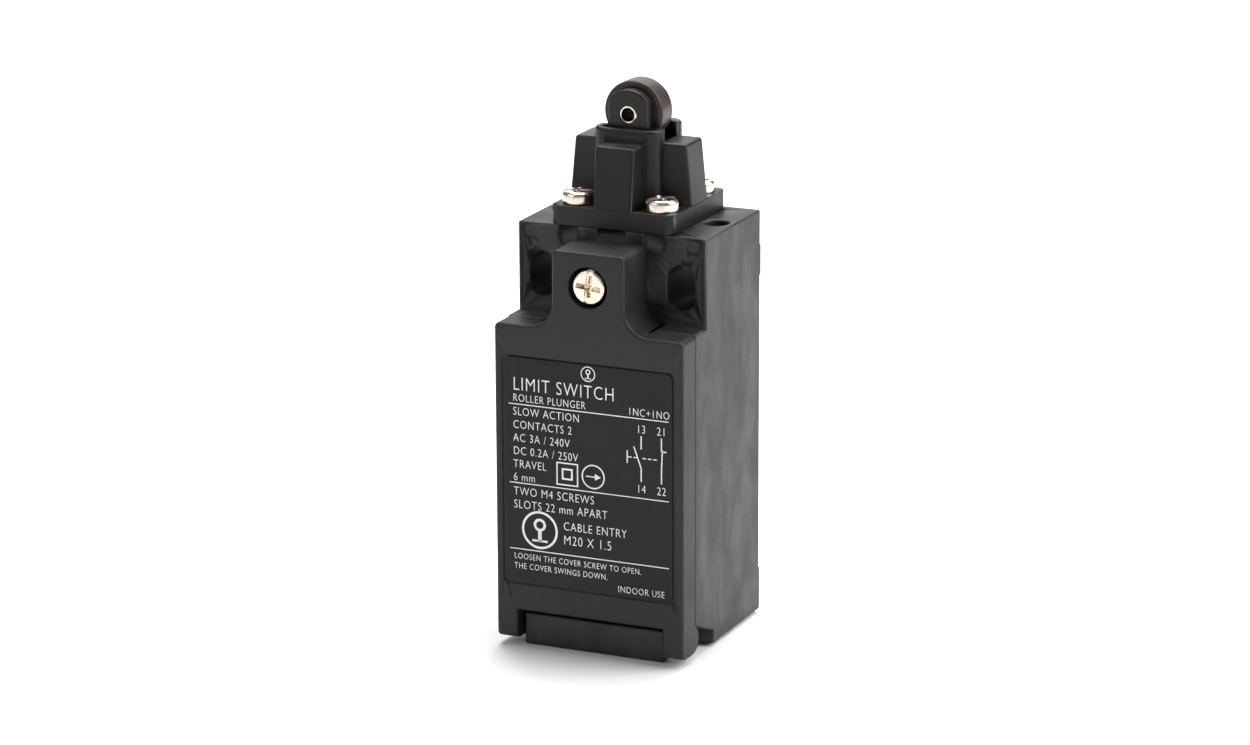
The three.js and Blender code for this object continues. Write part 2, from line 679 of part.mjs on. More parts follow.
/**
 * A bent terminal strip: its leaf carries the fixed contact, an arm runs forward, and a tab is turned
 * down in front of the block. The top of the leaf is at z = 0.
 */
function terminal(side, grow = 0) {
  const { innerX, outerX, leafHalfY, armInnerX, thickness, tabX, tabDrop, screwX, screwDrop } = TERMINAL;
  const span = (inner, outer) => sideSpan(side, inner - grow, outer + grow);
  const leafZ = [-thickness - grow, grow];
  const tabY = BLOCK.frontY - thickness;
  const leaf = box(span(innerX, outerX), [HEAD.y - leafHalfY - grow, HEAD.y + leafHalfY + grow], leafZ);
  const arm = box(span(armInnerX, outerX), [tabY, HEAD.y], leafZ);
  const tab = box(span(...tabX), [tabY, BLOCK.frontY], [-tabDrop - grow, grow]);
  const radius = TERMINAL_SCREW.hole - grow;
  const hole = bar('y', [side * screwX, -screwDrop], radius, tabY - 1, BLOCK.frontY + BITE, SIDES.small);
  return leaf.add(arm).add(tab).subtract(hole);
}

function carrier() {
  const { halfX, halfY, topZ, bottomZ, windowHalfY } = CARRIER;
  const stick = box(squareSpan(halfX), squareSpan(halfY), [bottomZ, topZ]);
  const windows = [NC_WINDOW, NO_WINDOW].map((z) => box(squareSpan(halfX + 1), squareSpan(windowHalfY), z));
  return stick.subtract(windows[0]).subtract(windows[1]).translate([0, HEAD.y, 0]);
}

/** A moving contact bridge with a round contact at each end, above it (1) or below it (-1). */
function bridge(facing) {
  const { halfX, halfY, thickness, padX, padRadius, padHeight, padBite } = BRIDGE;
  const strip = box(squareSpan(halfX), squareSpan(halfY), [0, thickness]);
  const padZ = facing > 0 ? [thickness - padBite, thickness + padHeight] : [-padHeight, padBite];
  return strip.add(bothSides((side) => bar('z', [side * padX, 0], padRadius, ...padZ, SIDES.tiny)));
}

function clampWasher() {
  const { half, thickness, hole } = CLAMP;
  return box(squareSpan(half), [-thickness, 0], squareSpan(half)).subtract(
    bar('y', [0, 0], hole, -thickness - 1, 1, SIDES.small),
  );
}

// ---- Assembly -----------------------------------------------------------------------------------

piece('housing', housing(), 'plastic');

piece('cover', cover(), 'plastic');
piece('cover_gasket', gasketRing(0, HOUSING.seamY - RIM_GASKET.depth + FIT_GAP, HOUSING.seamY), 'rubber');
piece('nameplate', nameplate(), 'label');
const coverAxis = [0, COVER_SCREW.z];
const retainer = tube('y', coverAxis, RETAINER.outer, RETAINER.inner, RETAINER.frontY, RETAINER.rearY);
piece('screw_retainer', retainer, 'white');
const insert = tube('y', coverAxis, INSERT.radius, INSERT.bore, BOSS.frontY, INSERT.rearY);
piece('cover_screw_insert', insert, 'brass');
const coverScrew = piece(
  'cover_screw',
  screw({
    headRadius: COVER_SCREW.headRadius,
    headHeight: COVER_SCREW.headRearY - COVER_SCREW.headFrontY,
    shankRadius: COVER_SCREW.shankRadius,
    shankLength: COVER_SCREW.tipY - COVER_SCREW.headRearY,
    rounding: COVER_SCREW.rounding,
  }),
  'nickel',
);
coverScrew.position.set(0, COVER_SCREW.headRearY, COVER_SCREW.z);
coverScrew.rotation.x = Math.PI / 2;

piece('head', head(), 'headPlastic');
const gasketZ = [HOUSING.topZ, HOUSING.topZ + HEAD_GASKET.height];
const headGasket = tube('z', [0, HEAD.y], HEAD_GASKET.outer, HEAD_GASKET.inner, ...gasketZ);
piece('head_gasket', headGasket, 'rubber');
const headScrew = screw({
  headRadius: HEAD_SCREW.headRadius,
  headHeight: HEAD_SCREW.headHeight,
  shankRadius: HEAD_SCREW.shank,
  shankLength: HEAD_SCREW.length,
  rounding: HEAD_SCREW.rounding,
});
HEAD_SCREW_PLACES.forEach(([x, y], i) => {
  piece(`head_screw_${HEAD_SCREW_NAMES[i]}`, headScrew, 'nickel').position.set(x, y, HEAD.plateTopZ);
});

piece('plunger', plunger(), 'rollerPlastic');
const rollerAxle = new THREE.Group();
rollerAxle.position.set(0, HEAD.y, ROLLER.z);
group.add(rollerAxle);
piece('roller', roller(), 'rollerPlastic', rollerAxle);
piece('roller_pin', rollerPin(), 'steel', rollerAxle);
const returnSpring = coilSpring(RETURN_SPRING, [SEAT.z[1], PLUNGER.flangeZ[0]]);
piece('plunger_return_spring', returnSpring, 'steel');
piece('spring_seat', tube('z', [0, HEAD.y], SEAT.outer, SEAT.inner, ...SEAT.z), 'steel');
piece('plunger_seal', tube('z', [0, HEAD.y], SEAL.outer, SEAL.inner, ...SEAL.z), 'rubber');

piece('block_rear_shell', blockShell([HEAD.y, BLOCK.rearY]), 'ivory');
piece('block_front_shell', blockShell([BLOCK.frontY, HEAD.y]), 'ivory');
const blockScrew = screw({
  headRadius: BLOCK_SCREW.headRadius,
  headHeight: BLOCK_SCREW.headHeight,
  shankRadius: BLOCK_SCREW.shank,
  shankLength: BLOCK_SCREW.tipY - BLOCK.frontY,
});
piece('contact_carrier', carrier(), 'white');
piece('nc_bridge', bridge(1), 'brass').position.set(0, HEAD.y, NC_BRIDGE_Z);
piece('no_bridge', bridge(-1), 'brass').position.set(0, HEAD.y, NO_BRIDGE_Z);
piece('nc_contact_spring', coilSpring(NC_SPRING, [NC_WINDOW[0], NC_BRIDGE_Z]), 'steel');
const noSpring = coilSpring(NO_SPRING, [NO_BRIDGE_Z + BRIDGE.thickness, NO_WINDOW[1]]);
piece('no_contact_spring', noSpring, 'steel');
const carrierSpring = coilSpring(CARRIER_SPRING, [CHAMBER.bottomZ, CARRIER.bottomZ]);
piece('carrier_return_spring', carrierSpring, 'steel');

for (const [sideName, side] of [['left', -1], ['right', 1]]) {
  const fixing = piece(`block_screw_${sideName}`, blockScrew, 'steel');
  fixing.position.set(side * BLOCK_SCREW.x, BLOCK.frontY, BLOCK_SCREW.z);
  fixing.rotation.x = Math.PI / 2;
  for (const [pair, leafTop] of [['nc', NC_LEAF_TOP_Z], ['no', NO_LEAF_TOP_Z]]) {
    const station = new THREE.Group();
    station.position.z = leafTop;
    group.add(station);
    const screwPlace = [side * TERMINAL.screwX, BLOCK.frontY - TERMINAL.thickness, -TERMINAL.screwDrop];
    const rivetZ = pair === 'nc'
      ? [-TERMINAL.thickness - CONTACT_RIVET.ncHeight, -TERMINAL.thickness]
      : [0, CONTACT_RIVET.height];
    const rivet = bar('z', [side * BRIDGE.padX, HEAD.y], CONTACT_RIVET.radius, ...rivetZ, SIDES.tiny);
    piece(`terminal_${pair}_${sideName}`, terminal(side), 'brass', station);
    piece(`fixed_contact_${pair}_${sideName}`, rivet, 'silver', station);
    piece(`clamp_washer_${pair}_${sideName}`, clampWasher(), 'steel', station).position.set(...screwPlace);
    const clampScrew = screw({
      headRadius: TERMINAL_SCREW.headRadius,
      headHeight: TERMINAL_SCREW.headHeight,
      shankRadius: TERMINAL_SCREW.shank,
      shankLength: TERMINAL_SCREW.tipY - (screwPlace[1] - CLAMP.thickness),
    });
    const fastener = piece(`terminal_screw_${pair}_${sideName}`, clampScrew, 'nickel', station);
    fastener.position.set(screwPlace[0], screwPlace[1] - CLAMP.thickness, screwPlace[2]);
    fastener.rotation.x = Math.PI / 2;
  }
}

export default group;
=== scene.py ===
"""Visual model of a compact limit switch with a roller plunger.

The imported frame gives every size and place. Moulded parts are dressed copies of their frame nodes,
with rounded edges. Screws, springs, the roller and its pin, the entry's thread and the print are
modelled here.
"""

import logging
import math
from collections.abc import Callable, Sequence
from dataclasses import dataclass, field
from enum import Enum

import bmesh
import bpy
from mathutils import Matrix, Vector


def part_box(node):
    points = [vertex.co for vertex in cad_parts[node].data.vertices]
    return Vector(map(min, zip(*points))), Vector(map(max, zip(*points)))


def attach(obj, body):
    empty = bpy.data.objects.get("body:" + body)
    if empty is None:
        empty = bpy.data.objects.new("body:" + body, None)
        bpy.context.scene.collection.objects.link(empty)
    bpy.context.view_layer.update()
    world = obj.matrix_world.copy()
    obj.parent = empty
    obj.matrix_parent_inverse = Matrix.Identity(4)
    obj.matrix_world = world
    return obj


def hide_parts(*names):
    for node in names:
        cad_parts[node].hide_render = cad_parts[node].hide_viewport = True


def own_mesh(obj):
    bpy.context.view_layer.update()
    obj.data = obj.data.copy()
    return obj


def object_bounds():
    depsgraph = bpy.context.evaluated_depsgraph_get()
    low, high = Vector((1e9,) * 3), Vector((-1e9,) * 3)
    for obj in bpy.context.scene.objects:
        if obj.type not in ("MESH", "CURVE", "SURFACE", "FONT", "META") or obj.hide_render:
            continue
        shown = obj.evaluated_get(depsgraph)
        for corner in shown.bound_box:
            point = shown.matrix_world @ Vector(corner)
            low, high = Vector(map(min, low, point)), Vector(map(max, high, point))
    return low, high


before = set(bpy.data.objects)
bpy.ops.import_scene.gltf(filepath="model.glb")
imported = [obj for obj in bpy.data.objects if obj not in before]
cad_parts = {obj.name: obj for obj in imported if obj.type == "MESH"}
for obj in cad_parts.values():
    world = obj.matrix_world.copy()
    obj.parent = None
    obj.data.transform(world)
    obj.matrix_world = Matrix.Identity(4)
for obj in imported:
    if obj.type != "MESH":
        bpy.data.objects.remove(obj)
CAD_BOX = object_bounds()

LOG = logging.getLogger("limit_switch")
MM = 0.001
FULL_TURN = 2 * math.pi
UP, FORWARD, BACK = Vector((0, 0, 1)), Vector((0, -1, 0)), Vector((0, 1, 0))
COPY_WELD, MADE_WELD, WIRE_WELD = 1e-6, 1e-7, 1e-8
ONE_PLANE = math.radians(0.5)

Pair = tuple[float, float]
Triple = tuple[float, float, float]
Socket = bpy.types.NodeSocket

# What most of a noise's values lie between, and a whole range.
MOST: Pair = (0.3, 0.7)
WHOLE: Pair = (0.0, 1.0)
# The places of a colour mix's sockets.
MIX_FACTOR, MIX_FIRST, MIX_SECOND, MIX_RESULT = 0, 6, 7, 2


def linked(name: str, data: bpy.types.ID) -> bpy.types.Object:
    """A new object in the scene."""
    made = bpy.data.objects.new(name, data)
    bpy.context.scene.collection.objects.link(made)
    return made


def linear(code: str) -> tuple[float, float, float, float]:
    """A six-digit screen colour as linear red, green, blue and alpha."""
    parts = [int(code[i:i + 2], 16) / 255 for i in (0, 2, 4)]
    return (*(p / 12.92 if p <= 0.04045 else ((p + 0.055) / 1.055) ** 2.4 for p in parts), 1.0)


# ------------ Materials ------------


class Shader:
    """One procedural material, built round a Principled shader on Object coordinates."""

    def __init__(self, name: str) -> None:
        """Starts an empty material.

        Args:
            name: The material's name.
        """
        self.material = bpy.data.materials.new(name)
        self.material.use_nodes = True
        self.tree = self.material.node_tree
        self.tree.nodes.clear()
        self.surface = self.add("ShaderNodeBsdfPrincipled")
        output = self.add("ShaderNodeOutputMaterial")
        self.tree.links.new(self.surface.outputs["BSDF"], output.inputs["Surface"])
        self.coords = self.add("ShaderNodeTexCoord").outputs["Object"]

    def add(self, kind: str, **settings: object) -> bpy.types.Node:
        """Adds a node and sets its properties."""
        node = self.tree.nodes.new(kind)
        for key, value in settings.items():
            setattr(node, key, value)
        return node

    def feed(self, node: bpy.types.Node, key: str | int, value: object) -> None:
        """Links a socket to a node's input, or sets the input to a constant."""
        if isinstance(value, bpy.types.NodeSocket):
            self.tree.links.new(value, node.inputs[key])
        else:
            node.inputs[key].default_value = value

    def set(self, **constants: object) -> None:
        """Sets constants on the shader's own sockets; an underscore stands for a space."""
        for key, value in constants.items():
            self.surface.inputs[key.replace("_", " ")].default_value = value

    def stretched(self, scale: Triple) -> Socket:
        """Object coordinates, scaled along each axis."""
        mapping = self.add("ShaderNodeMapping", vector_type="POINT")
        self.feed(mapping, "Vector", self.coords)
        self.feed(mapping, "Scale", scale)
        return mapping.outputs["Vector"]

    def noise(self, size: float, detail: float = 4.0, rough: float = 0.55, warp: float = 0.0,
              stretch: Triple | None = None) -> Socket:
        """Noise whose blotches are about as wide as a given size.

        Args:
            size: The width of a blotch in metres.
            detail: The number of finer layers.
            rough: How strong the finer layers are.
            warp: Distortion of the pattern.
            stretch: Scales of the axes, or None for an even pattern.

        Returns:
            The noise's value socket, from 0 to 1.
        """
        node = self.add("ShaderNodeTexNoise")
        self.feed(node, "Vector", self.stretched(stretch) if stretch else self.coords)
        self.feed(node, "Scale", 1 / size)
        self.feed(node, "Detail", detail)
        self.feed(node, "Roughness", rough)
        self.feed(node, "Distortion", warp)
        return node.outputs["Fac"]

    def span(self, value: Socket, old: Pair, new: Pair) -> Socket:
        """Maps a range of values to another, with clamped ends."""
        node = self.add("ShaderNodeMapRange", clamp=True)
        self.feed(node, "Value", value)
        for key, number in zip(("From Min", "From Max", "To Min", "To Max"), (*old, *new)):
            self.feed(node, key, number)
        return node.outputs["Result"]

    def mix(self, factor: Socket | float, first: object, second: object) -> Socket:
        """Mixes two colours."""
        node = self.add("ShaderNodeMix", data_type="RGBA")
        self.feed(node, MIX_FACTOR, factor)
        self.feed(node, MIX_FIRST, first)
        self.feed(node, MIX_SECOND, second)
        return node.outputs[MIX_RESULT]

    def maths(self, operation: str, first: object, second: object) -> Socket:
        """Combines two values."""
        node = self.add("ShaderNodeMath", operation=operation)
        self.feed(node, 0, first)
        self.feed(node, 1, second)
        return node.outputs[0]

    def relief(self, height: Socket, depth: float, strength: float,
               under: Socket | None = None) -> Socket:
        """Bumps the surface by a height pattern.

        Args:
            height: The height pattern, from 0 to 1.
            depth: The relief's depth in metres.
            strength: How much of it shows.
            under: A normal to add the relief to.

        Returns:
            The new normal's socket.
        """
        node = self.add("ShaderNodeBump")
        self.feed(node, "Strength", strength)
        self.feed(node, "Distance", depth)
        self.feed(node, "Height", height)
        if under is not None:
            self.feed(node, "Normal", under)
        return node.outputs["Normal"]

    def wear(self, colour: Socket, roughness: Socket, normal: Socket) -> None:
        """Links the three patterned channels to the shader."""
        self.feed(self.surface, "Base Color", colour)
        self.feed(self.surface, "Roughness", roughness)
        self.feed(self.surface, "Normal", normal)


@dataclass(frozen=True)
class MouldedPlastic:
    """Glass-filled moulded plastic: clouded flow marks, fibre flecks, and a spark-eroded grain."""

    name: str
    dark: str
    light: str
    roughness: float = 0.5
    grain: float = 0.00022
    grain_depth: float = 0.000006
    cloud: float = 0.0045
    flow: Triple = (1.0, 1.0, 0.5)
    flecks: float = 0.35
    sheen_drift: float = 0.08

    def build(self) -> bpy.types.Material:
        """Makes the material."""
        shader = Shader(self.name)
        shader.set(IOR=1.5, Specular_IOR_Level=0.36)
        dark, light = linear(self.dark), linear(self.light)
        cloud = shader.noise(self.cloud, detail=7.0, rough=0.66, warp=0.25, stretch=self.flow)
        grain = shader.noise(self.grain, detail=3.0, rough=0.6)
        fibres = shader.noise(self.grain * 0.8, detail=1.0, rough=0.4)
        fleck = shader.span(fibres, (0.66, 0.78), (0.0, self.flecks))
        body = shader.mix(shader.span(cloud, (0.32, 0.7), WHOLE), dark, light)
        speckled = shader.mix(fleck, body, light)
        drift = shader.span(cloud, MOST, (-self.sheen_drift, self.sheen_drift * 1.2))
        skin = shader.span(grain, MOST, (self.roughness - 0.04, self.roughness + 0.06))
        sheen = shader.maths("ADD", drift, skin)
        waves = shader.relief(cloud, self.grain_depth * 4, 0.25)
        shader.wear(speckled, sheen, shader.relief(grain, self.grain_depth, 0.75, waves))
        return shader.material


@dataclass(frozen=True)
class PlatedMetal:
    """Plated or drawn metal: fine brushing, faint stains, and small handling dents."""

    name: str
    colour: str
    stain: str
    roughness: float = 0.22
    brush: Triple = (1.0, 1.0, 1.0)
    brush_size: float = 0.00025
    stained: float = 0.35

    def build(self) -> bpy.types.Material:
        """Makes the material."""
        shader = Shader(self.name)
        shader.set(Metallic=1.0)
        brushing = shader.noise(self.brush_size, detail=4.0, rough=0.6, stretch=self.brush)
        stains = shader.noise(0.0022, detail=5.0, rough=0.6, warp=0.5)
        amount = shader.span(stains, (0.45, 0.75), (0.0, self.stained))
        colour = shader.mix(amount, linear(self.colour), linear(self.stain))
        fine = shader.span(brushing, MOST, (self.roughness - 0.05, self.roughness + 0.07))
        dullness = shader.maths("ADD", fine, shader.span(stains, (0.4, 0.8), (0.0, 0.14)))
        dents = shader.relief(stains, 0.00002, 0.3)
        shader.wear(colour, dullness, shader.relief(brushing, 0.000002, 0.5, dents))
        return shader.material


@dataclass(frozen=True)
class PrintedFilm:
    """A satin film with a fine orange-peel surface."""

    name: str
    dark: str
    light: str
    roughness: float = 0.42

    def build(self) -> bpy.types.Material:
        """Makes the material."""
        shader = Shader(self.name)
        shader.set(IOR=1.49, Specular_IOR_Level=0.26)
        peel = shader.noise(0.0006, detail=3.0, rough=0.5)
        drift = shader.noise(0.012, detail=4.0, rough=0.55)
        colour = shader.mix(shader.span(drift, MOST, WHOLE), linear(self.dark), linear(self.light))
        dullness = shader.span(peel, MOST, (self.roughness - 0.05, self.roughness + 0.07))
        shader.wear(colour, dullness, shader.relief(peel, 0.000006, 0.35))
        return shader.material


@dataclass(frozen=True)
class SoftRubber:
    """Matt rubber with a dusty bloom."""

    name: str
    dark: str = "101011"
    bloom: str = "2c2b2a"

    def build(self) -> bpy.types.Material:
        """Makes the material."""
        shader = Shader(self.name)
        shader.set(IOR=1.52, Specular_IOR_Level=0.3, Sheen_Weight=0.15)
        dust = shader.noise(0.0015, detail=5.0, rough=0.65)
        skin = shader.noise(0.0003, detail=2.0, rough=0.5)
        dusty = shader.span(dust, (0.4, 0.75), (0.0, 0.7))
        colour = shader.mix(dusty, linear(self.dark), linear(self.bloom))
        shader.wear(colour, shader.span(skin, MOST, (0.72, 0.9)), shader.relief(skin, 0.00001, 0.4))
        return shader.material


class Finish(Enum):
    """The finishes of the switch, each with the record slot that it belongs to."""

    HOUSING = ("housing_plastic", MouldedPlastic(
        "housing glass-filled plastic", "161617", "343335", 0.45, flecks=0.4, sheen_drift=0.16))
    COVER = ("cover_plastic", MouldedPlastic(
        "cover glass-filled plastic", "191919", "242425", 0.5))
    HEAD = ("head_plastic", MouldedPlastic(
        "head plastic", "0f0e0e", "171514", 0.42, grain_depth=0.000004, flecks=0.15))
    PLUNGER = ("plunger_plastic", MouldedPlastic(
        "plunger plastic", "131110", "1b1817", 0.36, grain_depth=0.000003, flow=(1, 1, 1),
        flecks=0.08))
    ROLLER = ("roller_plastic", MouldedPlastic(
        "roller plastic", "2b2422", "463b38", 0.34, grain_depth=0.000003, cloud=0.003,
        flow=(1, 0.2, 1), flecks=0.1))
    IVORY = ("ivory_plastic", MouldedPlastic(
        "ivory thermoset", "cbc4b0", "ddd7c6", 0.48, cloud=0.004, flecks=0.2))
    WHITE = ("white_plastic", MouldedPlastic(
        "white acetal", "dcdad3", "efede8", 0.4, grain_depth=0.000003, cloud=0.004, flecks=0.1))
    FILM = ("label_film", PrintedFilm("label film", "101114", "16171a"))
    DARK_INK = ("ivory_plastic", PrintedFilm("dark marking ink", "1b1b1d", "242427", 0.5))
    INK = ("white_plastic", PrintedFilm("white ink", "e4e4e4", "f6f6f6", 0.5))
    NICKEL = ("bright_nickel", PlatedMetal("bright nickel", "f2e6d6", "b59f86", 0.17))
    STEEL = ("zinc_steel", PlatedMetal("zinc-plated steel", "c6c8cb", "8d8a85", 0.26))
    # Painted shade: a dark metal for the inside of the pin's bore, which is the pin's own plating
    # and is dark only because it lies in shade.
    BLACKENED = ("bright_nickel", PlatedMetal("bore painted shade", "2a2726", "15110f", 0.4))
    SPRING = ("spring_steel", PlatedMetal("spring wire", "b4b6b9", "6f6b66", 0.24, (1, 1, 6)))
    BRASS = ("brass", PlatedMetal("stamped brass", "d9b566", "8c6a33", 0.24, (6, 1, 1)))
    SILVER = ("silver_contact", PlatedMetal("silver contact", "f1f0ee", "a49c90", 0.2))
    RUBBER = ("seal_rubber", SoftRubber("seal rubber"))

    @property
    def slot(self) -> str:
        """The record's material slot."""
        return self.value[0]

    @property
    def material(self) -> bpy.types.Material:
        """The finish's material, made once."""
        recipe = self.value[1]
        return bpy.data.materials.get(recipe.name) or recipe.build()


# ------------ Mesh work ------------


@dataclass(frozen=True)
class Region:
    """A box of space in millimetres, in the switch's frame."""

    low: Triple = (-100.0, -100.0, -100.0)
    high: Triple = (100.0, 100.0, 100.0)

    def holds(self, point: Vector) -> bool:
        """Says whether a point in metres is inside."""
        return all(lo * MM <= p <= hi * MM for lo, p, hi in zip(self.low, point, self.high))


@dataclass(frozen=True)
class Rounding:
    """Edges to round: how wide, where, and where not."""

    width: float
    inside: tuple[Region, ...] = (Region(),)
    outside: tuple[Region, ...] = ()
    segments: int = 3
    sharper_than: float = 50.0

    def picks(self, edge: bmesh.types.BMEdge) -> bool:
        """Says whether an edge is one of them; an edge in a hollow corner never is."""
        if not edge.is_manifold or not edge.is_convex:
            return False
        if edge.calc_face_angle(0.0) < math.radians(self.sharper_than):
            return False
        middle = (edge.verts[0].co + edge.verts[1].co) / 2
        kept = any(region.holds(middle) for region in self.inside)
        return kept and not any(region.holds(middle) for region in self.outside)


class Workpiece:
    """A bmesh on its way to becoming one finished piece."""

    def __init__(self) -> None:
        """Starts with nothing."""
        self.mesh = bmesh.new()

    @classmethod
    def copied(cls, *nodes: str) -> "Workpiece":
        """Starts from frame nodes, with their triangles joined into whole faces."""
        work = cls()
        for node in nodes:
            work.mesh.from_mesh(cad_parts[node].data)
        return work.weld(COPY_WELD).join_faces()

    def weld(self, distance: float) -> "Workpiece":
        """Makes one point of points that are closer than a distance in metres."""
        bmesh.ops.remove_doubles(self.mesh, verts=self.mesh.verts, dist=distance)
        return self

    def join_faces(self) -> "Workpiece":
        """Joins neighbouring faces that lie in one plane."""
        bmesh.ops.dissolve_limit(self.mesh, angle_limit=ONE_PLANE, verts=self.mesh.verts,
                                 edges=self.mesh.edges, use_dissolve_boundaries=False,
                                 delimit=set())
        return self

    def face_outwards(self) -> "Workpiece":
        """Turns every face outwards."""
        bmesh.ops.recalc_face_normals(self.mesh, faces=self.mesh.faces)
        return self

    def round_edges(self, *roundings: Rounding) -> "Workpiece":
        """Rounds the edges that each rounding picks, one rounding after another."""
        for rounding in roundings:
            edges = [edge for edge in self.mesh.edges if rounding.picks(edge)]
            if edges:
                bmesh.ops.bevel(self.mesh, geom=edges, offset=rounding.width * MM,
                                offset_type="OFFSET", segments=rounding.segments, profile=0.5,
                                affect="EDGES", clamp_overlap=False, material=-1)
        bmesh.ops.dissolve_degenerate(self.mesh, dist=COPY_WELD, edges=self.mesh.edges)
        return self.split_wide_faces()

    def split_wide_faces(self) -> "Workpiece":
        """Splits the faces of five corners or more; in millimetres, so that no sliver is lost."""
        wide = [face for face in self.mesh.faces if len(face.verts) > 4]
        bmesh.ops.scale(self.mesh, vec=(1 / MM, 1 / MM, 1 / MM), verts=self.mesh.verts)
        if wide:
            bmesh.ops.triangulate(self.mesh, faces=wide, quad_method="BEAUTY", ngon_method="BEAUTY")
        bmesh.ops.scale(self.mesh, vec=(MM, MM, MM), verts=self.mesh.verts)
        return self

    def turn(self, profile: Sequence[Pair], centre: Vector, axis: Vector, steps: int,
             closed: bool = False) -> "Workpiece":
        """Adds a shape of revolution.

        Args:
            profile: Distances from the axis and along it, in millimetres.
            centre: The point that the distances along the axis count from, in metres.
            axis: The direction of the axis.
            steps: The number of facets round it.
            closed: Whether the profile's end joins its start.

        Returns:
            This workpiece.
        """
        along = axis.normalized()
        out = along.orthogonal().normalized()
        points = [centre + (out * r + along * h) * MM for r, h in profile]
        verts = [self.mesh.verts.new(point) for point in points]
        pairs = list(zip(verts, verts[1:])) + ([(verts[-1], verts[0])] if closed else [])
        edges = [self.mesh.edges.new(pair) for pair in pairs]
        bmesh.ops.spin(self.mesh, geom=verts + edges, cent=centre, axis=along, angle=FULL_TURN,
                       steps=steps, use_merge=True, use_duplicate=False)
        return self.weld(MADE_WELD).face_outwards()

    def box(self, low: Triple, high: Triple) -> "Workpiece":
        """Adds a box between two corners in millimetres."""
        made = bmesh.ops.create_cube(self.mesh, size=1.0)["verts"]
        size = [(hi - lo) * MM for lo, hi in zip(low, high)]
        middle = [(hi + lo) / 2 * MM for lo, hi in zip(low, high)]
        bmesh.ops.scale(self.mesh, verts=made, vec=size)
        bmesh.ops.translate(self.mesh, verts=made, vec=middle)
        return self

    def helix_ridge(self, centre: Vector, axis: Vector, profile: Sequence[Pair], pitch: float,
                    turns: float, steps_per_turn: int) -> "Workpiece":
        """Adds a screw thread's ridge.

        Args:
            centre: Where the ridge starts on the axis, in metres.
            axis: The direction it climbs in.
            profile: The closed section as distances from the axis and along it, in millimetres.
            pitch: The rise of a turn in millimetres.
            turns: The number of turns.
            steps_per_turn: The number of facets in a turn.

        Returns:
            This workpiece.
        """
        along = axis.normalized()
        out = along.orthogonal().normalized()
        verts = [self.mesh.verts.new(centre + (out * r + along * h) * MM) for r, h in profile]
        face = self.mesh.faces.new(verts)
        steps = round(turns * steps_per_turn)
        bmesh.ops.spin(self.mesh, geom=[face, *face.edges, *face.verts], cent=centre, axis=along,
                       dvec=along * (pitch * MM / steps_per_turn), angle=FULL_TURN * turns,
                       steps=steps, use_merge=False, use_duplicate=False)
        return self.face_outwards()

    def closed(self) -> "Workpiece":
        """Merges doubled points, drops slivers and turns every face outwards."""
        self.weld(MADE_WELD)
        bmesh.ops.dissolve_degenerate(self.mesh, dist=MADE_WELD, edges=self.mesh.edges)
        return self.face_outwards()

    def cut(self, tool: "Workpiece") -> "Workpiece":
        """Cuts another workpiece's solid out of this one."""
        body, cutter = self.as_object("cut body"), tool.as_object("cut tool")
        modifier = body.modifiers.new("cut", "BOOLEAN")
        modifier.operation = "DIFFERENCE"
        modifier.solver = "EXACT"
        modifier.object = cutter
        result = body.evaluated_get(bpy.context.evaluated_depsgraph_get()).to_mesh()
        self.mesh = bmesh.new()
        self.mesh.from_mesh(result)
        for scrap in (body, cutter):
            mesh = scrap.data
            bpy.data.objects.remove(scrap)
            bpy.data.meshes.remove(mesh)
        return self.weld(MADE_WELD).join_faces()

    def as_object(self, name: str) -> bpy.types.Object:
        """Hands the mesh over to a new object; the workpiece is then used up."""
        data = bpy.data.meshes.new(name)
        self.mesh.to_mesh(data)
        self.mesh.free()
        return linked(name, data)

    def finish(self, name: str, body: str, finish: Finish, replaces: Sequence[str] = (),
               smooth_below: float = 40.0, lining: Finish | None = None,
               lined: Callable[[Vector], bool] | None = None) -> bpy.types.Object:
        """Makes the finished piece, dresses it and lets it ride on its body.

        Args:
            name: The piece's name.
            body: The body it moves with.
            finish: Its finish.
            replaces: The frame nodes it stands for.
            smooth_below: Edges flatter than this many degrees are shaded smooth.
            lining: A second finish, or None.
            lined: Says of a face's centre whether the face has the second finish.

        Returns:
            The piece.
        """
        piece = self.as_object(name)
        data = piece.data
        data.materials.append(finish.material)
        if lining and lined:
            data.materials.append(lining.material)
            for face in data.polygons:
                face.material_index = int(lined(face.center))
        data.shade_smooth()
        data.set_sharp_from_angle(angle=math.radians(smooth_below))
        weighted = piece.modifiers.new("even shading", "WEIGHTED_NORMAL")
        weighted.keep_sharp = True
        weighted.weight = 100
        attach(piece, body)
        if replaces:
            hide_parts(*replaces)
        LOG.info("%s rides on %s: %d faces", name, body, len(data.polygons))
        return piece


def meshed(name: str, curve: bpy.types.Curve) -> bpy.types.Mesh:
    """Makes a mesh of a curve and does away with the curve.

    Args:
        name: The name of the object that carries the curve for a moment.
        curve: The curve or text.

    Returns:
        The mesh.
    """
    scrap = linked(name, curve)
    bpy.context.view_layer.update()
    shown = scrap.evaluated_get(bpy.context.evaluated_depsgraph_get())
    made = bpy.data.meshes.new_from_object(shown)
    bpy.data.objects.remove(scrap)
    bpy.data.curves.remove(curve)
    return made


def dressed(node: str, name: str, body: str, finish: Finish, width: float,
            segments: int = 3) -> None:
    """Makes a piece from a copy of a frame node, with all its edges rounded.

    Args:
        node: The frame node that it stands for.
        name: The piece's name.
        body: The body it moves with.
        finish: Its finish.
        width: The rounding's width in millimetres.
        segments: The number of facets across the rounding.
    """
    work = Workpiece.copied(node).round_edges(Rounding(width, segments=segments))
    work.finish(name, body, finish, [node])


# ------------ Sub-assemblies ------------


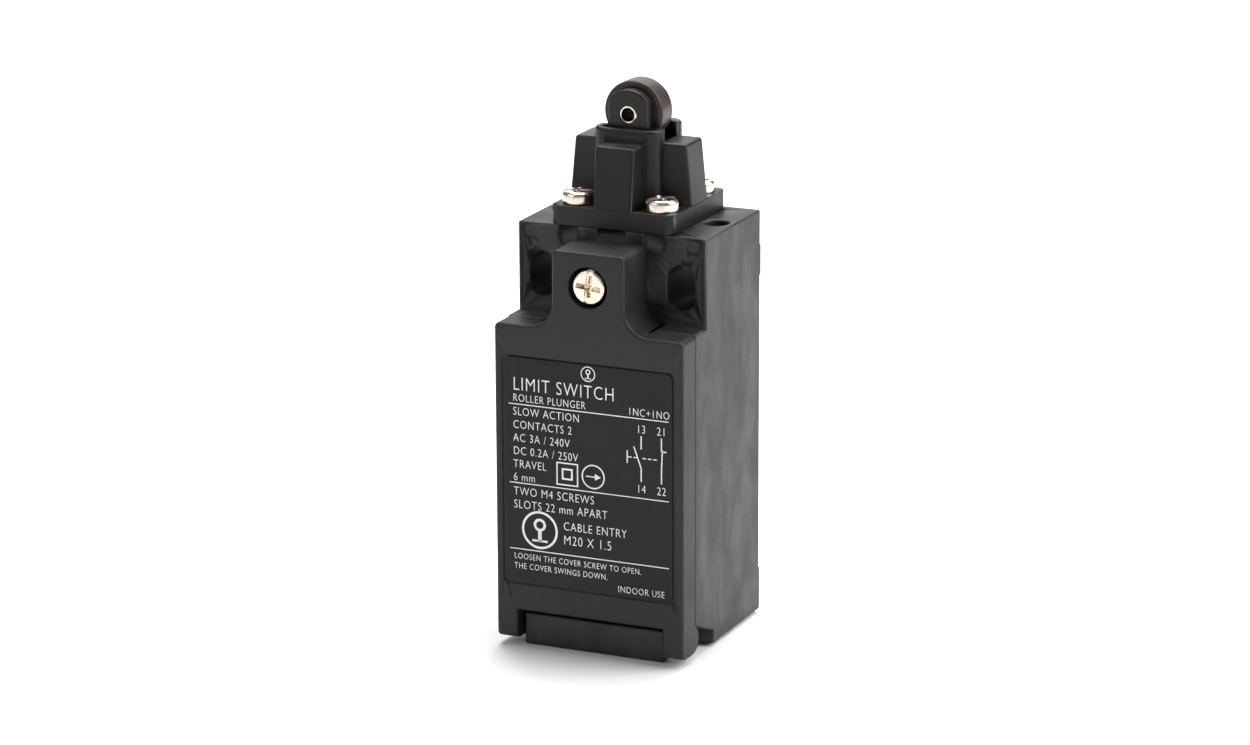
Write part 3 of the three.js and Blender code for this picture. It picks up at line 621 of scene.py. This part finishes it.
@dataclass
class Housing:
    """The moulded box with its mounting slots, cable entry and cover lip."""

    edge: float = 0.35
    entry_edge: float = 0.2
    interior: Region = Region((-12.7, -24.6, -45.1), (12.7, -0.6, 7.5))
    under_head: Region = Region((-9.5, -20.4, 7.4), (9.5, -1.5, 7.7))
    marks: Region = Region((-14.95, -20.95, 3.9), (14.95, -20.0, 7.75))
    left_slot: Region = Region((-13.6, -21.2, -4.1), (-8.4, 0.4, 4.1))
    right_slot: Region = Region((8.4, -21.2, -4.1), (13.6, 0.4, 4.1))
    bores: Region = Region((-3.3, -25.1, -2.5), (3.3, -20.0, 4.3))
    entry: Region = Region((-9.5, -21.7, -55.1), (9.5, -2.7, -54.9))
    entry_y: float = -12.2
    thread_start: float = 1.0
    thread_pitch: float = 1.5
    thread_turns: float = 5.3
    thread_ridge: tuple[Pair, ...] = ((9.35, -0.55), (8.75, -0.12), (8.75, 0.12), (9.35, 0.55))

    def build(self) -> None:
        """Builds the housing and the thread of its cable entry."""
        calm = (self.interior, self.under_head, self.marks, self.bores, self.left_slot,
                self.right_slot, self.entry)
        work = Workpiece.copied("housing")
        work.round_edges(Rounding(self.edge, outside=calm),
                         Rounding(self.entry_edge, inside=(self.entry,)))
        work.finish("housing_shell", "housing", Finish.HOUSING, ["housing"])
        low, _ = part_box("housing")
        start = Vector((0.0, self.entry_y * MM, low.z + self.thread_start * MM))
        thread = Workpiece().helix_ridge(start, UP, self.thread_ridge, self.thread_pitch,
                                         self.thread_turns, 48)
        thread.finish("cable_entry_thread", "housing", Finish.HOUSING)


@dataclass
class Cover:
    """The hinged front cover with its gasket, screw retainer and threaded insert."""

    edge: float = 0.42
    mouth_edge: float = 0.12
    inner: Region = Region((-14.6, -28.9, -48.9), (14.6, -20.0, 4.3))
    recess: Region = Region((-14.2, -29.4, -45.8), (14.2, -29.0, -9.9))
    screw_mouth: Region = Region((-3.2, -29.4, -2.3), (3.2, -27.0, 4.1))
    feet: Region = Region((-15.1, -28.7, -56.0), (15.1, -20.0, -48.5))
    seam: Region = Region((-15.1, -25.0, -54.0), (15.1, -24.8, 8.0))

    def build(self) -> None:
        """Builds the cover's pieces."""
        calm = (self.inner, self.recess, self.screw_mouth, self.seam, self.feet)
        work = Workpiece.copied("cover")
        work.round_edges(Rounding(self.edge, outside=calm),
                         Rounding(self.mouth_edge, inside=(self.screw_mouth,)))
        work.finish("cover_shell", "cover", Finish.COVER, ["cover"])
        dressed("cover_gasket", "cover_rim_gasket", "cover", Finish.RUBBER, 0.25)
        dressed("screw_retainer", "cover_screw_retainer", "cover", Finish.WHITE, 0.08)
        dressed("cover_screw_insert", "cover_insert", "housing", Finish.BRASS, 0.1)


@dataclass
class Print:
    """Flat print on a face that looks to the front, gathered in one workpiece.

    Places on the face are pairs of x and z in millimetres.
    """

    face: float
    ink: float = 0.02
    thinning: float = 0.016
    capital_share: float = 0.73
    narrowing: float = 0.8
    work: Workpiece = field(default_factory=Workpiece)

    def bar(self, x: Pair, z: Pair) -> None:
        """A straight bar."""
        front = self.face / MM - self.ink
        self.work.box((x[0], front, z[0]), (x[1], self.face / MM + self.ink, z[1]))

    def square(self, centre: Pair, half: float, line: float) -> None:
        """A square outline."""
        x, z = centre
        for side in (-1, 1):
            edge = sorted((side * half, side * (half - line)))
            self.bar((x - half, x + half), (z + edge[0], z + edge[1]))
            self.bar((x + edge[0], x + edge[1]), (z - half + line, z + half - line))

    def ring(self, centre: Pair, outer: float, line: float) -> None:
        """A ring."""
        middle = Vector((centre[0] * MM, self.face, centre[1] * MM))
        inner, ink = outer - line, self.ink
        section = ((inner, -ink), (outer, -ink), (outer, ink), (inner, ink))
        self.work.turn(section, middle, BACK, 56, closed=True)

    def patch(self, corners: Sequence[Pair]) -> None:
        """A filled outline."""
        mesh = self.work.mesh
        front, back = self.face - self.ink * MM, self.face + self.ink * MM
        base = mesh.faces.new([mesh.verts.new((x * MM, front, z * MM)) for x, z in corners])
        grown = bmesh.ops.extrude_face_region(mesh, geom=[base])["geom"]
        moved = [v for v in grown if isinstance(v, bmesh.types.BMVert)]
        bmesh.ops.translate(mesh, verts=moved, vec=(0, back - front, 0))

    def slanted(self, start: Pair, end: Pair, line: float) -> None:
        """A line between two points."""
        run = Vector((end[0] - start[0], end[1] - start[1]))
        half = Vector((-run.y, run.x)).normalized() * line / 2
        self.patch([(place[0] + half.x * side, place[1] + half.y * side)
                    for place, side in ((start, 1), (end, 1), (end, -1), (start, -1))])

    def text(self, words: str, x: float, z: float, size: float) -> None:
        """Adds a word or line.

        Args:
            words: The text.
            x: The left end in millimetres.
            z: The baseline in millimetres.
            size: The height of capitals in millimetres.
        """
        curve = bpy.data.curves.new("words", "FONT")
        curve.body = words
        curve.size = size / self.capital_share * MM
        curve.extrude = self.ink * MM
        curve.resolution_u = 3
        curve.space_character = 1.12
        curve.offset = -self.thinning * size * MM
        letters = meshed("words", curve)
        upright = Matrix.Rotation(math.pi / 2, 4, "X")
        narrow = Matrix.Diagonal((self.narrowing, 1.0, 1.0, 1.0))
        letters.transform(Matrix.Translation((x * MM, self.face, z * MM)) @ upright @ narrow)
        self.work.mesh.from_mesh(letters)
        bpy.data.meshes.remove(letters)


@dataclass
class Label:
    """The nameplate film and its generic white print."""

    rules: tuple[float, ...] = (-17.72, -29.72, -39.87)
    rule_half_width: float = 12.75
    rule_half_height: float = 0.07
    left: float = -12.1
    lines: tuple[tuple[str, float, float, float], ...] = (
        ("LIMIT SWITCH", left, -15.6, 2.1),
        ("ROLLER PLUNGER", left, -17.3, 1.2),
        ("1NC+1NO", 6.3, -17.35, 1.2),
        ("SLOW ACTION", left, -19.4, 1.3),
        ("CONTACTS 2", left, -21.4, 1.3),
        ("AC 3A / 240V", left, -23.4, 1.3),
        ("DC 0.2A / 250V", left, -25.4, 1.3),
        ("TRAVEL", left, -27.4, 1.3),
        ("6 mm", left, -29.4, 1.3),
        ("TWO M4 SCREWS", left, -31.6, 1.35),
        ("SLOTS 22 mm APART", left, -33.6, 1.35),
        ("CABLE ENTRY", -4.1, -36.1, 1.35),
        ("M20 X 1.5", -4.1, -38.3, 1.5),
        ("LOOSEN THE COVER SCREW TO OPEN.", left, -41.4, 0.95),
        ("THE COVER SWINGS DOWN.", left, -42.9, 0.95),
        ("INDOOR USE", 4.6, -44.5, 1.05),
    )
    diagram_line: float = 0.18
    contact_ends: tuple[tuple[str, float, float], ...] = (
        ("13", 7.65, -19.9), ("21", 10.85, -19.9), ("14", 7.65, -28.9), ("22", 10.85, -28.9))

    def build(self) -> None:
        """Builds the film and everything printed on it."""
        dressed("nameplate", "label_film_plate", "cover", Finish.FILM, 0.05, segments=2)
        sheet = Print(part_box("nameplate")[0].y)
        for height in self.rules:
            sheet.bar((-self.rule_half_width, self.rule_half_width),
                      (height - self.rule_half_height, height + self.rule_half_height))
        for half, line in ((1.75, 0.2), (0.875, 0.26)):
            sheet.square((-3.4, -27.5), half, line)
        self._ringed_arrow(sheet, (0.75, -27.4), 1.85)
        self._contact_diagram(sheet)
        self._roller_emblem(sheet, (-7.9, -36.6), 2.9)
        self._roller_emblem(sheet, (0.0, -11.95), 1.15)
        for text, x, z, size in self.lines:
            sheet.text(text, x, z, size)
        sheet.work.closed().finish("label_print", "cover", Finish.INK, smooth_below=20.0)

    def _ringed_arrow(self, sheet: Print, centre: Pair, radius: float) -> None:
        """An arrow that points right, in a ring."""
        x, z = centre
        tip, length, half = x + radius * 0.66, 0.95, 0.5
        sheet.ring(centre, radius, 0.2)
        sheet.bar((x - radius * 0.62, x + radius * 0.2), (z - 0.09, z + 0.09))
        sheet.patch(((tip - length, z - half), (tip, z), (tip - length, z + half)))

    def _contact_diagram(self, sheet: Print) -> None:
        """A wiring diagram of one closing and one opening contact, right of the ratings."""
        half = self.diagram_line / 2
        for x, closed in ((8.4, False), (11.6, True)):
            sheet.bar((x - half, x + half), (-22.3, -20.3))
            sheet.bar((x - half, x + half), (-27.2, -25.2))
            lean = 0.15 if closed else -1.15
            sheet.slanted((x, -25.2), (x + lean, -22.0), self.diagram_line)
            if closed:
                sheet.bar((x, x + 0.75), (-22.4, -22.22))
        for x in (6.6, 7.45, 8.9, 9.75, 10.6):
            sheet.bar((x - 0.28, x + 0.28), (-23.72, -23.56))
        sheet.bar((6.1, 6.28), (-24.6, -22.7))
        for text, x, z in self.contact_ends:
            sheet.text(text, x, z, 1.3)

    def _roller_emblem(self, sheet: Print, centre: Pair, radius: float) -> None:
        """A plain ring with a roller on a stem in it."""
        x, z = centre
        sheet.ring(centre, radius, radius * 0.12)
        sheet.ring((x, z + radius * 0.27), radius * 0.34, radius * 0.14)
        sheet.bar((x - radius * 0.1, x + radius * 0.1), (z - radius * 0.6, z - radius * 0.07))
        sheet.bar((x - radius * 0.43, x + radius * 0.43), (z - radius * 0.63, z - radius * 0.52))


@dataclass
class CrossScrew:
    """A round-headed screw with a cross recess, a straight slot and a ridge for its thread.

    Its node's box gives its place and, with the axis, its sizes.
    """

    node: str
    body: str
    axis: Vector
    head_height: float
    shank_radius: float
    finish: Finish = Finish.NICKEL
    rounding: float = 0.7
    pitch: float = 0.5
    recess_span: float = 0.66
    wing_width: float = 0.13
    turned: float = 0.0
    slot_share: float = 1.25
    recess_depth: float = 0.75
    slot_depth: float = 0.3
    core_share: float = 0.84
    tip: Pair = (0.3, 0.4)
    chamfer: float = 0.12
    flattening: float = 0.92
    taper: float = 0.6
    edge: float = 0.03
    steps: int = 56

    def build(self) -> None:
        """Builds the screw."""
        low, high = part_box(self.node)
        size = high - low
        along = max(range(3), key=lambda i: abs(self.axis[i]))
        across = (along + 1) % 3
        radius = size[across] / 2 / MM
        length = size[along] / MM - self.head_height
        centre = (low + high) / 2
        centre[along] = (high[along] if self.axis[along] > 0 else low[along])
        seat = centre - self.axis * self.head_height * MM
        work = Workpiece().turn(self._profile(radius, length), seat, self.axis, self.steps)
        work.cut(self._recess(radius, centre)).cut(self._slot(radius, centre))
        work.round_edges(Rounding(self.edge, segments=2, sharper_than=45.0))
        start = seat - self.axis * (length - 0.5) * MM
        crest, root = self.shank_radius, self.shank_radius * self.core_share - 0.05
        ridge = ((root, -0.2), (crest, -0.04), (crest, 0.04), (root, 0.2))
        turns = max(1.0, (length - 0.9) / self.pitch)
        work.helix_ridge(start, self.axis, ridge, self.pitch, turns, 24)
        work.finish(f"{self.node}_fastener", self.body, self.finish, [self.node])

    def _profile(self, radius: float, length: float) -> list[Pair]:
        """The half section of head and core, from the tip to the top."""
        core = self.shank_radius * self.core_share
        top = self.head_height
        bow, rise = self.rounding, self.rounding * self.flattening
        arc = [(radius - bow + bow * math.cos(a), top - rise + rise * math.sin(a))
               for a in (math.radians(step * 15) for step in range(7))]
        crown = [(radius * 0.45, top), (0.0, top)]
        tip = [(0.0, -length), (core - self.tip[0], -length), (core, -length + self.tip[1])]
        seat = [(core, 0.0), (radius - self.chamfer, 0.0), (radius, self.chamfer)]
        return [*tip, *seat, *arc, *crown]

    def _recess(self, radius: float, top: Vector) -> Workpiece:
        """The cross-shaped cutter, tapering as it goes in."""
        wing, span = radius * self.wing_width, radius * self.recess_span
        depth = self.head_height * self.recess_depth
        cutter = Workpiece()
        core = bmesh.ops.create_cube(cutter.mesh, size=1.0)["verts"]
        bmesh.ops.scale(cutter.mesh, verts=core, vec=(wing * 2, wing * 2, 1))
        cutter.mesh.normal_update()
        sides = [face for face in cutter.mesh.faces if abs(face.normal.z) < 0.5]
        for face in bmesh.ops.extrude_discrete_faces(cutter.mesh, faces=sides)["faces"]:
            face.normal_update()
            bmesh.ops.translate(cutter.mesh, verts=face.verts, vec=face.normal * (span - wing))
        for vert in cutter.mesh.verts:
            deep = vert.co.z < 0
            vert.co.z = -depth if deep else 0.4
            vert.co.xy *= self.taper if deep else 1.1
        return self._placed(cutter, top)

    def _slot(self, radius: float, top: Vector) -> Workpiece:
        """The straight slot's cutter, right across the head."""
        half = radius * self.wing_width * self.slot_share
        depth = self.head_height * self.slot_depth
        cutter = Workpiece().box((-radius * 1.2, -half, -depth), (radius * 1.2, half, 1.0))
        bmesh.ops.scale(cutter.mesh, verts=cutter.mesh.verts, vec=(1 / MM, 1 / MM, 1 / MM))
        return self._placed(cutter, top)

    def _placed(self, cutter: Workpiece, top: Vector) -> Workpiece:
        """Turns a cutter made in millimetres to the screw's axis, and puts it at the head's top."""
        lift = UP.rotation_difference(self.axis).to_matrix().to_4x4()
        turn = Matrix.Rotation(self.turned, 4, "Z")
        place = Matrix.Translation(top) @ lift @ turn @ Matrix.Scale(MM, 4)
        bmesh.ops.transform(cutter.mesh, matrix=place, verts=cutter.mesh.verts)
        return cutter


@dataclass
class Head:
    """The bolted head with its gasket and four screws."""

    edge: float = 0.45
    plate_edge: float = 0.09
    foot_edge: float = 0.15
    guide: Region = Region((-5.6, -16.7, 7.0), (5.6, -5.2, 21.5))
    holes: Region = Region((-8.6, -19.6, 7.0), (8.6, -2.3, 10.4))
    foot: Region = Region((-11.0, -22.0, 7.5), (11.0, 0.0, 7.7))
    plate: Region = Region((-11.0, -22.0, 10.4), (11.0, 0.0, 10.6))
    within_plate: Region = Region((-9.8, -20.7, 10.0), (9.8, -1.2, 10.7))
    tower: Region = Region((-10.0, -21.0, 10.6), (10.0, -1.0, 21.7))
    pocket: Region = Region((-5.0, -15.1, 12.0), (5.0, -6.8, 21.7))

    def build(self) -> None:
        """Builds the head's pieces."""
        work = Workpiece.copied("head")
        work.round_edges(
            Rounding(self.edge, inside=(self.tower,), outside=(self.pocket,), segments=4),
            Rounding(self.plate_edge, inside=(self.plate,), outside=(self.within_plate,)),
            Rounding(self.foot_edge, inside=(self.foot,), outside=(self.guide, self.holes)),
        )
        work.finish("head_casting", "housing", Finish.HEAD, ["head"])
        dressed("head_gasket", "head_seal_ring", "housing", Finish.RUBBER, 0.25)
        for i, place in enumerate(("front_left", "front_right", "rear_left", "rear_right")):
            CrossScrew(f"head_screw_{place}", "housing", UP, 1.8, 1.45,
                       turned=0.35 + 0.45 * i).build()


@dataclass
class Spring:
    """A coil spring with closed end turns; one that has a joint gets a mesh of its own."""

    node: str
    body: str
    wire: float
    turns: float
    joint: str | None = None
    anchor: str = "low"
    keep: float = 0.4
    steps_per_turn: int = 28

    def build(self) -> None:
        """Builds the spring."""
        low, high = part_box(self.node)
        middle = (low + high) / 2
        radius = (high.x - low.x) / 2 - self.wire / 2 * MM
        bottom = low.z + self.wire / 2 * MM
        rise = high.z - low.z - self.wire * MM
        line = bpy.data.curves.new(self.node, "CURVE")
        line.dimensions = "3D"
        line.bevel_depth = self.wire / 2 * MM
        line.bevel_resolution = 3
        line.use_fill_caps = True
        path = line.splines.new("POLY")
        steps = round(self.turns * self.steps_per_turn)
        path.points.add(steps)
        for i, point in enumerate(path.points):
            share = i / steps
            angle = FULL_TURN * (self.turns * share)
            point.co = (middle.x + radius * math.cos(angle), middle.y + radius * math.sin(angle),
                        bottom + rise * self._climb(share), 1.0)
        coil = meshed("coil", line)
        work = Workpiece()
        work.mesh.from_mesh(coil)
        bpy.data.meshes.remove(coil)
        work.weld(WIRE_WELD).face_outwards()
        piece = work.finish(f"{self.node}_coil", self.body, Finish.SPRING, [self.node])
        if self.joint:
            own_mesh(piece)

    def _climb(self, share: float) -> float:
        """How far up the wire is, with an almost flat turn at each end."""
        flat = min(0.4, 0.75 / self.turns)
        gentle = 0.05
        if share < flat:
            return gentle * share / flat
        if share > 1 - flat:
            return 1 - gentle * (1 - share) / flat
        return gentle + (1 - 2 * gentle) * (share - flat) / (1 - 2 * flat)


@dataclass
class Plunger:
    """The roller plunger with its pin, spring, seat and seal."""

    edge: float = 0.28
    hole_edge: float = 0.12
    pin_hole: Region = Region((-1.5, -16.0, 22.0), (1.5, -6.0, 25.0))
    pin_outer: float = 1.33
    pin_bore: float = 0.95
    pin_lip: float = 0.12
    roller_rim: float = 0.38
    roller_bore: float = 1.55
    roller_hub: float = 2.3
    roller_tread: float = 0.8
    roller_dish: float = 0.14
    dish_slope: float = 0.15

    def build(self) -> None:
        """Builds the plunger's pieces."""
        work = Workpiece.copied("plunger")
        work.round_edges(Rounding(self.edge, outside=(self.pin_hole,)),
                         Rounding(self.hole_edge, inside=(self.pin_hole,)))
        work.finish("plunger_fork", "plunger", Finish.PLUNGER, ["plunger"])
        self._pin()
        self._roller()
        Spring("plunger_return_spring", "housing", 0.6, 5.5, "plunger_slide", "low", 0.385).build()
        dressed("spring_seat", "spring_seat_washer", "housing", Finish.STEEL, 0.1)
        dressed("plunger_seal", "plunger_wiper_seal", "housing", Finish.RUBBER, 0.35)

    def _pin(self) -> None:
        """The hollow pin, rolled over a little at both ends, with painted shade inside its bore."""
        low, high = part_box("roller_pin")
        middle, half = (low + high) / 2, (high.y - low.y) / 2 / MM
        outer, bore, lip = self.pin_outer, self.pin_bore, self.pin_lip
        section = ((bore, -half + 0.25), (bore + 0.1, -half + 0.04), (outer - lip, -half),
                   (outer, -half + 0.1), (outer, half - 0.1), (outer - lip, half),
                   (bore + 0.1, half - 0.04), (bore, half - 0.25))
        pin = Workpiece().turn(section, middle, BACK, 56, closed=True)
        # The faces inside the bore get the dark lining, which is painted shade.
        pin.finish("roller_hollow_pin", "plunger", Finish.NICKEL, ["roller_pin"],
                   lining=Finish.BLACKENED,
                   lined=lambda point: (point - middle).xz.length < (bore + 0.08) * MM)

    def _roller(self) -> None:
        """The roller, with rounded rims and dished faces."""
        low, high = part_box("roller")
        radius = (high.z - low.z) / 2 / MM
        half = (high.y - low.y) / 2 / MM
        bow, floor, slope = self.roller_rim, half - self.roller_dish, self.dish_slope
        rim = [(radius - bow + bow * math.sin(a), half - bow + bow * math.cos(a))
               for a in (math.radians(step * 15) for step in range(7))]
        tread = radius - self.roller_tread
        upper = [(self.roller_bore, half - 0.1), (self.roller_hub, half),
                 (self.roller_hub + slope, floor), (tread - slope, floor), (tread, half), *rim]
        lower = [(r, -h) for r, h in reversed(upper)]
        profile = [*upper, (radius, 0.0), *lower]
        work = Workpiece().turn(profile, (low + high) / 2, BACK, 96, closed=True)
        work.finish("roller_wheel", "roller", Finish.ROLLER, ["roller"])


@dataclass
class ContactBlock:
    """The contact block behind the cover, with its terminals and moving bridges."""

    shell_edge: float = 0.25
    inside: Region = Region((-11.2, -17.0, -35.5), (11.2, -3.3, -8.5))
    numbers: tuple[tuple[str, str], ...] = (
        ("nc_left", "21"), ("nc_right", "22"), ("no_left", "13"), ("no_right", "14"))
    number_size: float = 1.6
    number_shift: float = -1.2
    number_lift: float = 0.7

    def build(self) -> None:
        """Builds the block's pieces."""
        for shell in ("block_rear_shell", "block_front_shell"):
            work = Workpiece.copied(shell).round_edges(
                Rounding(self.shell_edge, outside=(self.inside,)))
            work.finish(f"{shell}_moulding", "housing", Finish.IVORY, [shell])
        for side in ("left", "right"):
            CrossScrew(f"block_screw_{side}", "housing", FORWARD, 1.4, 1.2, Finish.STEEL,
                       rounding=0.5).build()
        for place, _ in self.numbers:
            self._terminal(place)
        self._moving_contacts()
        self._raised_numbers()

    def _terminal(self, place: str) -> None:
        """A terminal with its contact, clamp washer and screw."""
        dressed(f"terminal_{place}", f"terminal_strip_{place}", "housing", Finish.BRASS, 0.12, 2)
        dressed(f"clamp_washer_{place}", f"clamp_plate_{place}", "housing", Finish.STEEL, 0.15, 2)
        dressed(f"fixed_contact_{place}", f"contact_button_{place}", "housing", Finish.SILVER, 0.12)
        CrossScrew(f"terminal_screw_{place}", "housing", FORWARD, 2.0, 1.4, rounding=0.55).build()

    def _moving_contacts(self) -> None:
        """The carrier, its bridges and their springs."""
        dressed("contact_carrier", "carrier_slider", "contact_carrier", Finish.WHITE, 0.15)
        dressed("nc_bridge", "nc_bridge_strip", "contact_carrier", Finish.BRASS, 0.12)
        dressed("no_bridge", "no_bridge_strip", "no_bridge", Finish.BRASS, 0.12)
        Spring("nc_contact_spring", "contact_carrier", 0.35, 3.5).build()
        Spring("no_contact_spring", "contact_carrier", 0.35, 4.5, "no_bridge_slide", "high",
               0.34).build()
        Spring("carrier_return_spring", "housing", 0.4, 5.0, "carrier_slide", "low", 0.28).build()

    def _raised_numbers(self) -> None:
        """Raised terminal numbers on the block's front."""
        relief = Print(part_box("block_front_shell")[0].y, ink=0.05)
        for place, number in self.numbers:
            low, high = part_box(f"terminal_{place}")
            x = (low.x + high.x) / 2 / MM + self.number_shift
            relief.text(number, x, high.z / MM + self.number_lift, self.number_size)
        relief.work.closed().finish("terminal_numbers", "housing", Finish.DARK_INK,
                                    smooth_below=20.0)


# ------------ Studio ------------


@dataclass
class Studio:
    """A pale floor, soft lights, and the camera."""

    target: Triple = (-1.708, -12.35, -16.227)
    yaw: float = 24.121
    pitch: float = 15.614
    roll: float = -0.206
    distance: float = 670.925
    lens: float = 130.22
    sensor: float = 36.0
    floor_size: float = 6.0
    floor_gap: float = 0.0001
    surround: float = 0.22
    aim: Triple = (0, 0, -0.01)
    boxes: tuple[tuple[str, Triple, float, float], ...] = (
        ("right box", (0.75, 0.25, 0.55), 0.7, 9.5),
        ("top box", (-0.1, 0.35, 0.95), 0.8, 14.0),
        ("back wall", (-0.9, 2.0, 0.75), 2.2, 18.0),
        ("front fill", (-0.95, -1.15, 0.85), 1.3, 6.5),
    )

    def build(self) -> None:
        """Sets up the studio."""
        self._camera()
        self._floor()
        self._lights()

    def _camera(self) -> None:
        """Puts the camera at its place."""
        yaw, pitch = math.radians(self.yaw), math.radians(self.pitch)
        back = Vector((math.sin(yaw) * math.cos(pitch), -math.cos(yaw) * math.cos(pitch),
                       math.sin(pitch)))
        right = Vector((math.cos(yaw), math.sin(yaw), 0))
        up = back.cross(right)
        turn = math.radians(self.roll)
        across = right * math.cos(turn) + up * math.sin(turn)
        data = bpy.data.cameras.new("camera")
        data.lens = self.lens
        data.sensor_width = self.sensor
        data.clip_start = 0.01
        data.clip_end = 20
        camera = linked("camera", data)
        basis = Matrix((across, back.cross(across), back)).transposed()
        place = (Vector(self.target) + back * self.distance) * MM
        camera.matrix_world = Matrix.Translation(place) @ basis.to_4x4()
        bpy.context.scene.camera = camera

    def _floor(self) -> None:
        """A wide pale floor under the switch."""
        mesh = bmesh.new()
        bmesh.ops.create_grid(mesh, x_segments=2, y_segments=2, size=self.floor_size)
        bmesh.ops.translate(mesh, verts=mesh.verts, vec=(0, 0, CAD_BOX[0].z - self.floor_gap))
        data = bpy.data.meshes.new("floor")
        mesh.to_mesh(data)
        mesh.free()
        shader = Shader("pale floor")
        shader.set(Base_Color=(0.93, 0.93, 0.93, 1), Roughness=0.8, Specular_IOR_Level=0.1)
        data.materials.append(shader.material)
        floor = linked("floor", data)

    def _lights(self) -> None:
        """Soft boxes and an even surround."""
        world = bpy.data.worlds.new("surround")
        world.use_nodes = True
        background = world.node_tree.nodes["Background"]
        background.inputs["Color"].default_value = (1, 1, 1, 1)
        background.inputs["Strength"].default_value = self.surround
        bpy.context.scene.world = world
        for name, place, size, power in self.boxes:
            self._soft_box(name, place, size, power)
        view = bpy.context.scene.view_settings
        view.view_transform = "Standard"
        view.look = "None"

    def _soft_box(self, name: str, place: Triple, size: float, power: float) -> None:
        """A square light that faces the switch."""
        data = bpy.data.lights.new(name, "AREA")
        data.size = size
        data.energy = power
        aim = (Vector(self.aim) - Vector(place)).to_track_quat("-Z", "Y")
        linked(name, data).matrix_world = Matrix.Translation(place) @ aim.to_matrix().to_4x4()


def main() -> None:
    """Builds the studio and the switch."""
    logging.basicConfig(level=logging.INFO, format="%(name)s: %(message)s")
    Studio().build()
    builders: list[Callable[[], None]] = [
        Housing().build,
        Cover().build,
        CrossScrew("cover_screw", "cover_screw", FORWARD, 1.9, 1.45, rounding=0.45,
                   recess_span=0.76, wing_width=0.15, turned=1.45).build,
        Label().build,
        Head().build,
        Plunger().build,
        ContactBlock().build,
    ]
    for build in builders:
        build()


if __name__ == "__main__":
    main()
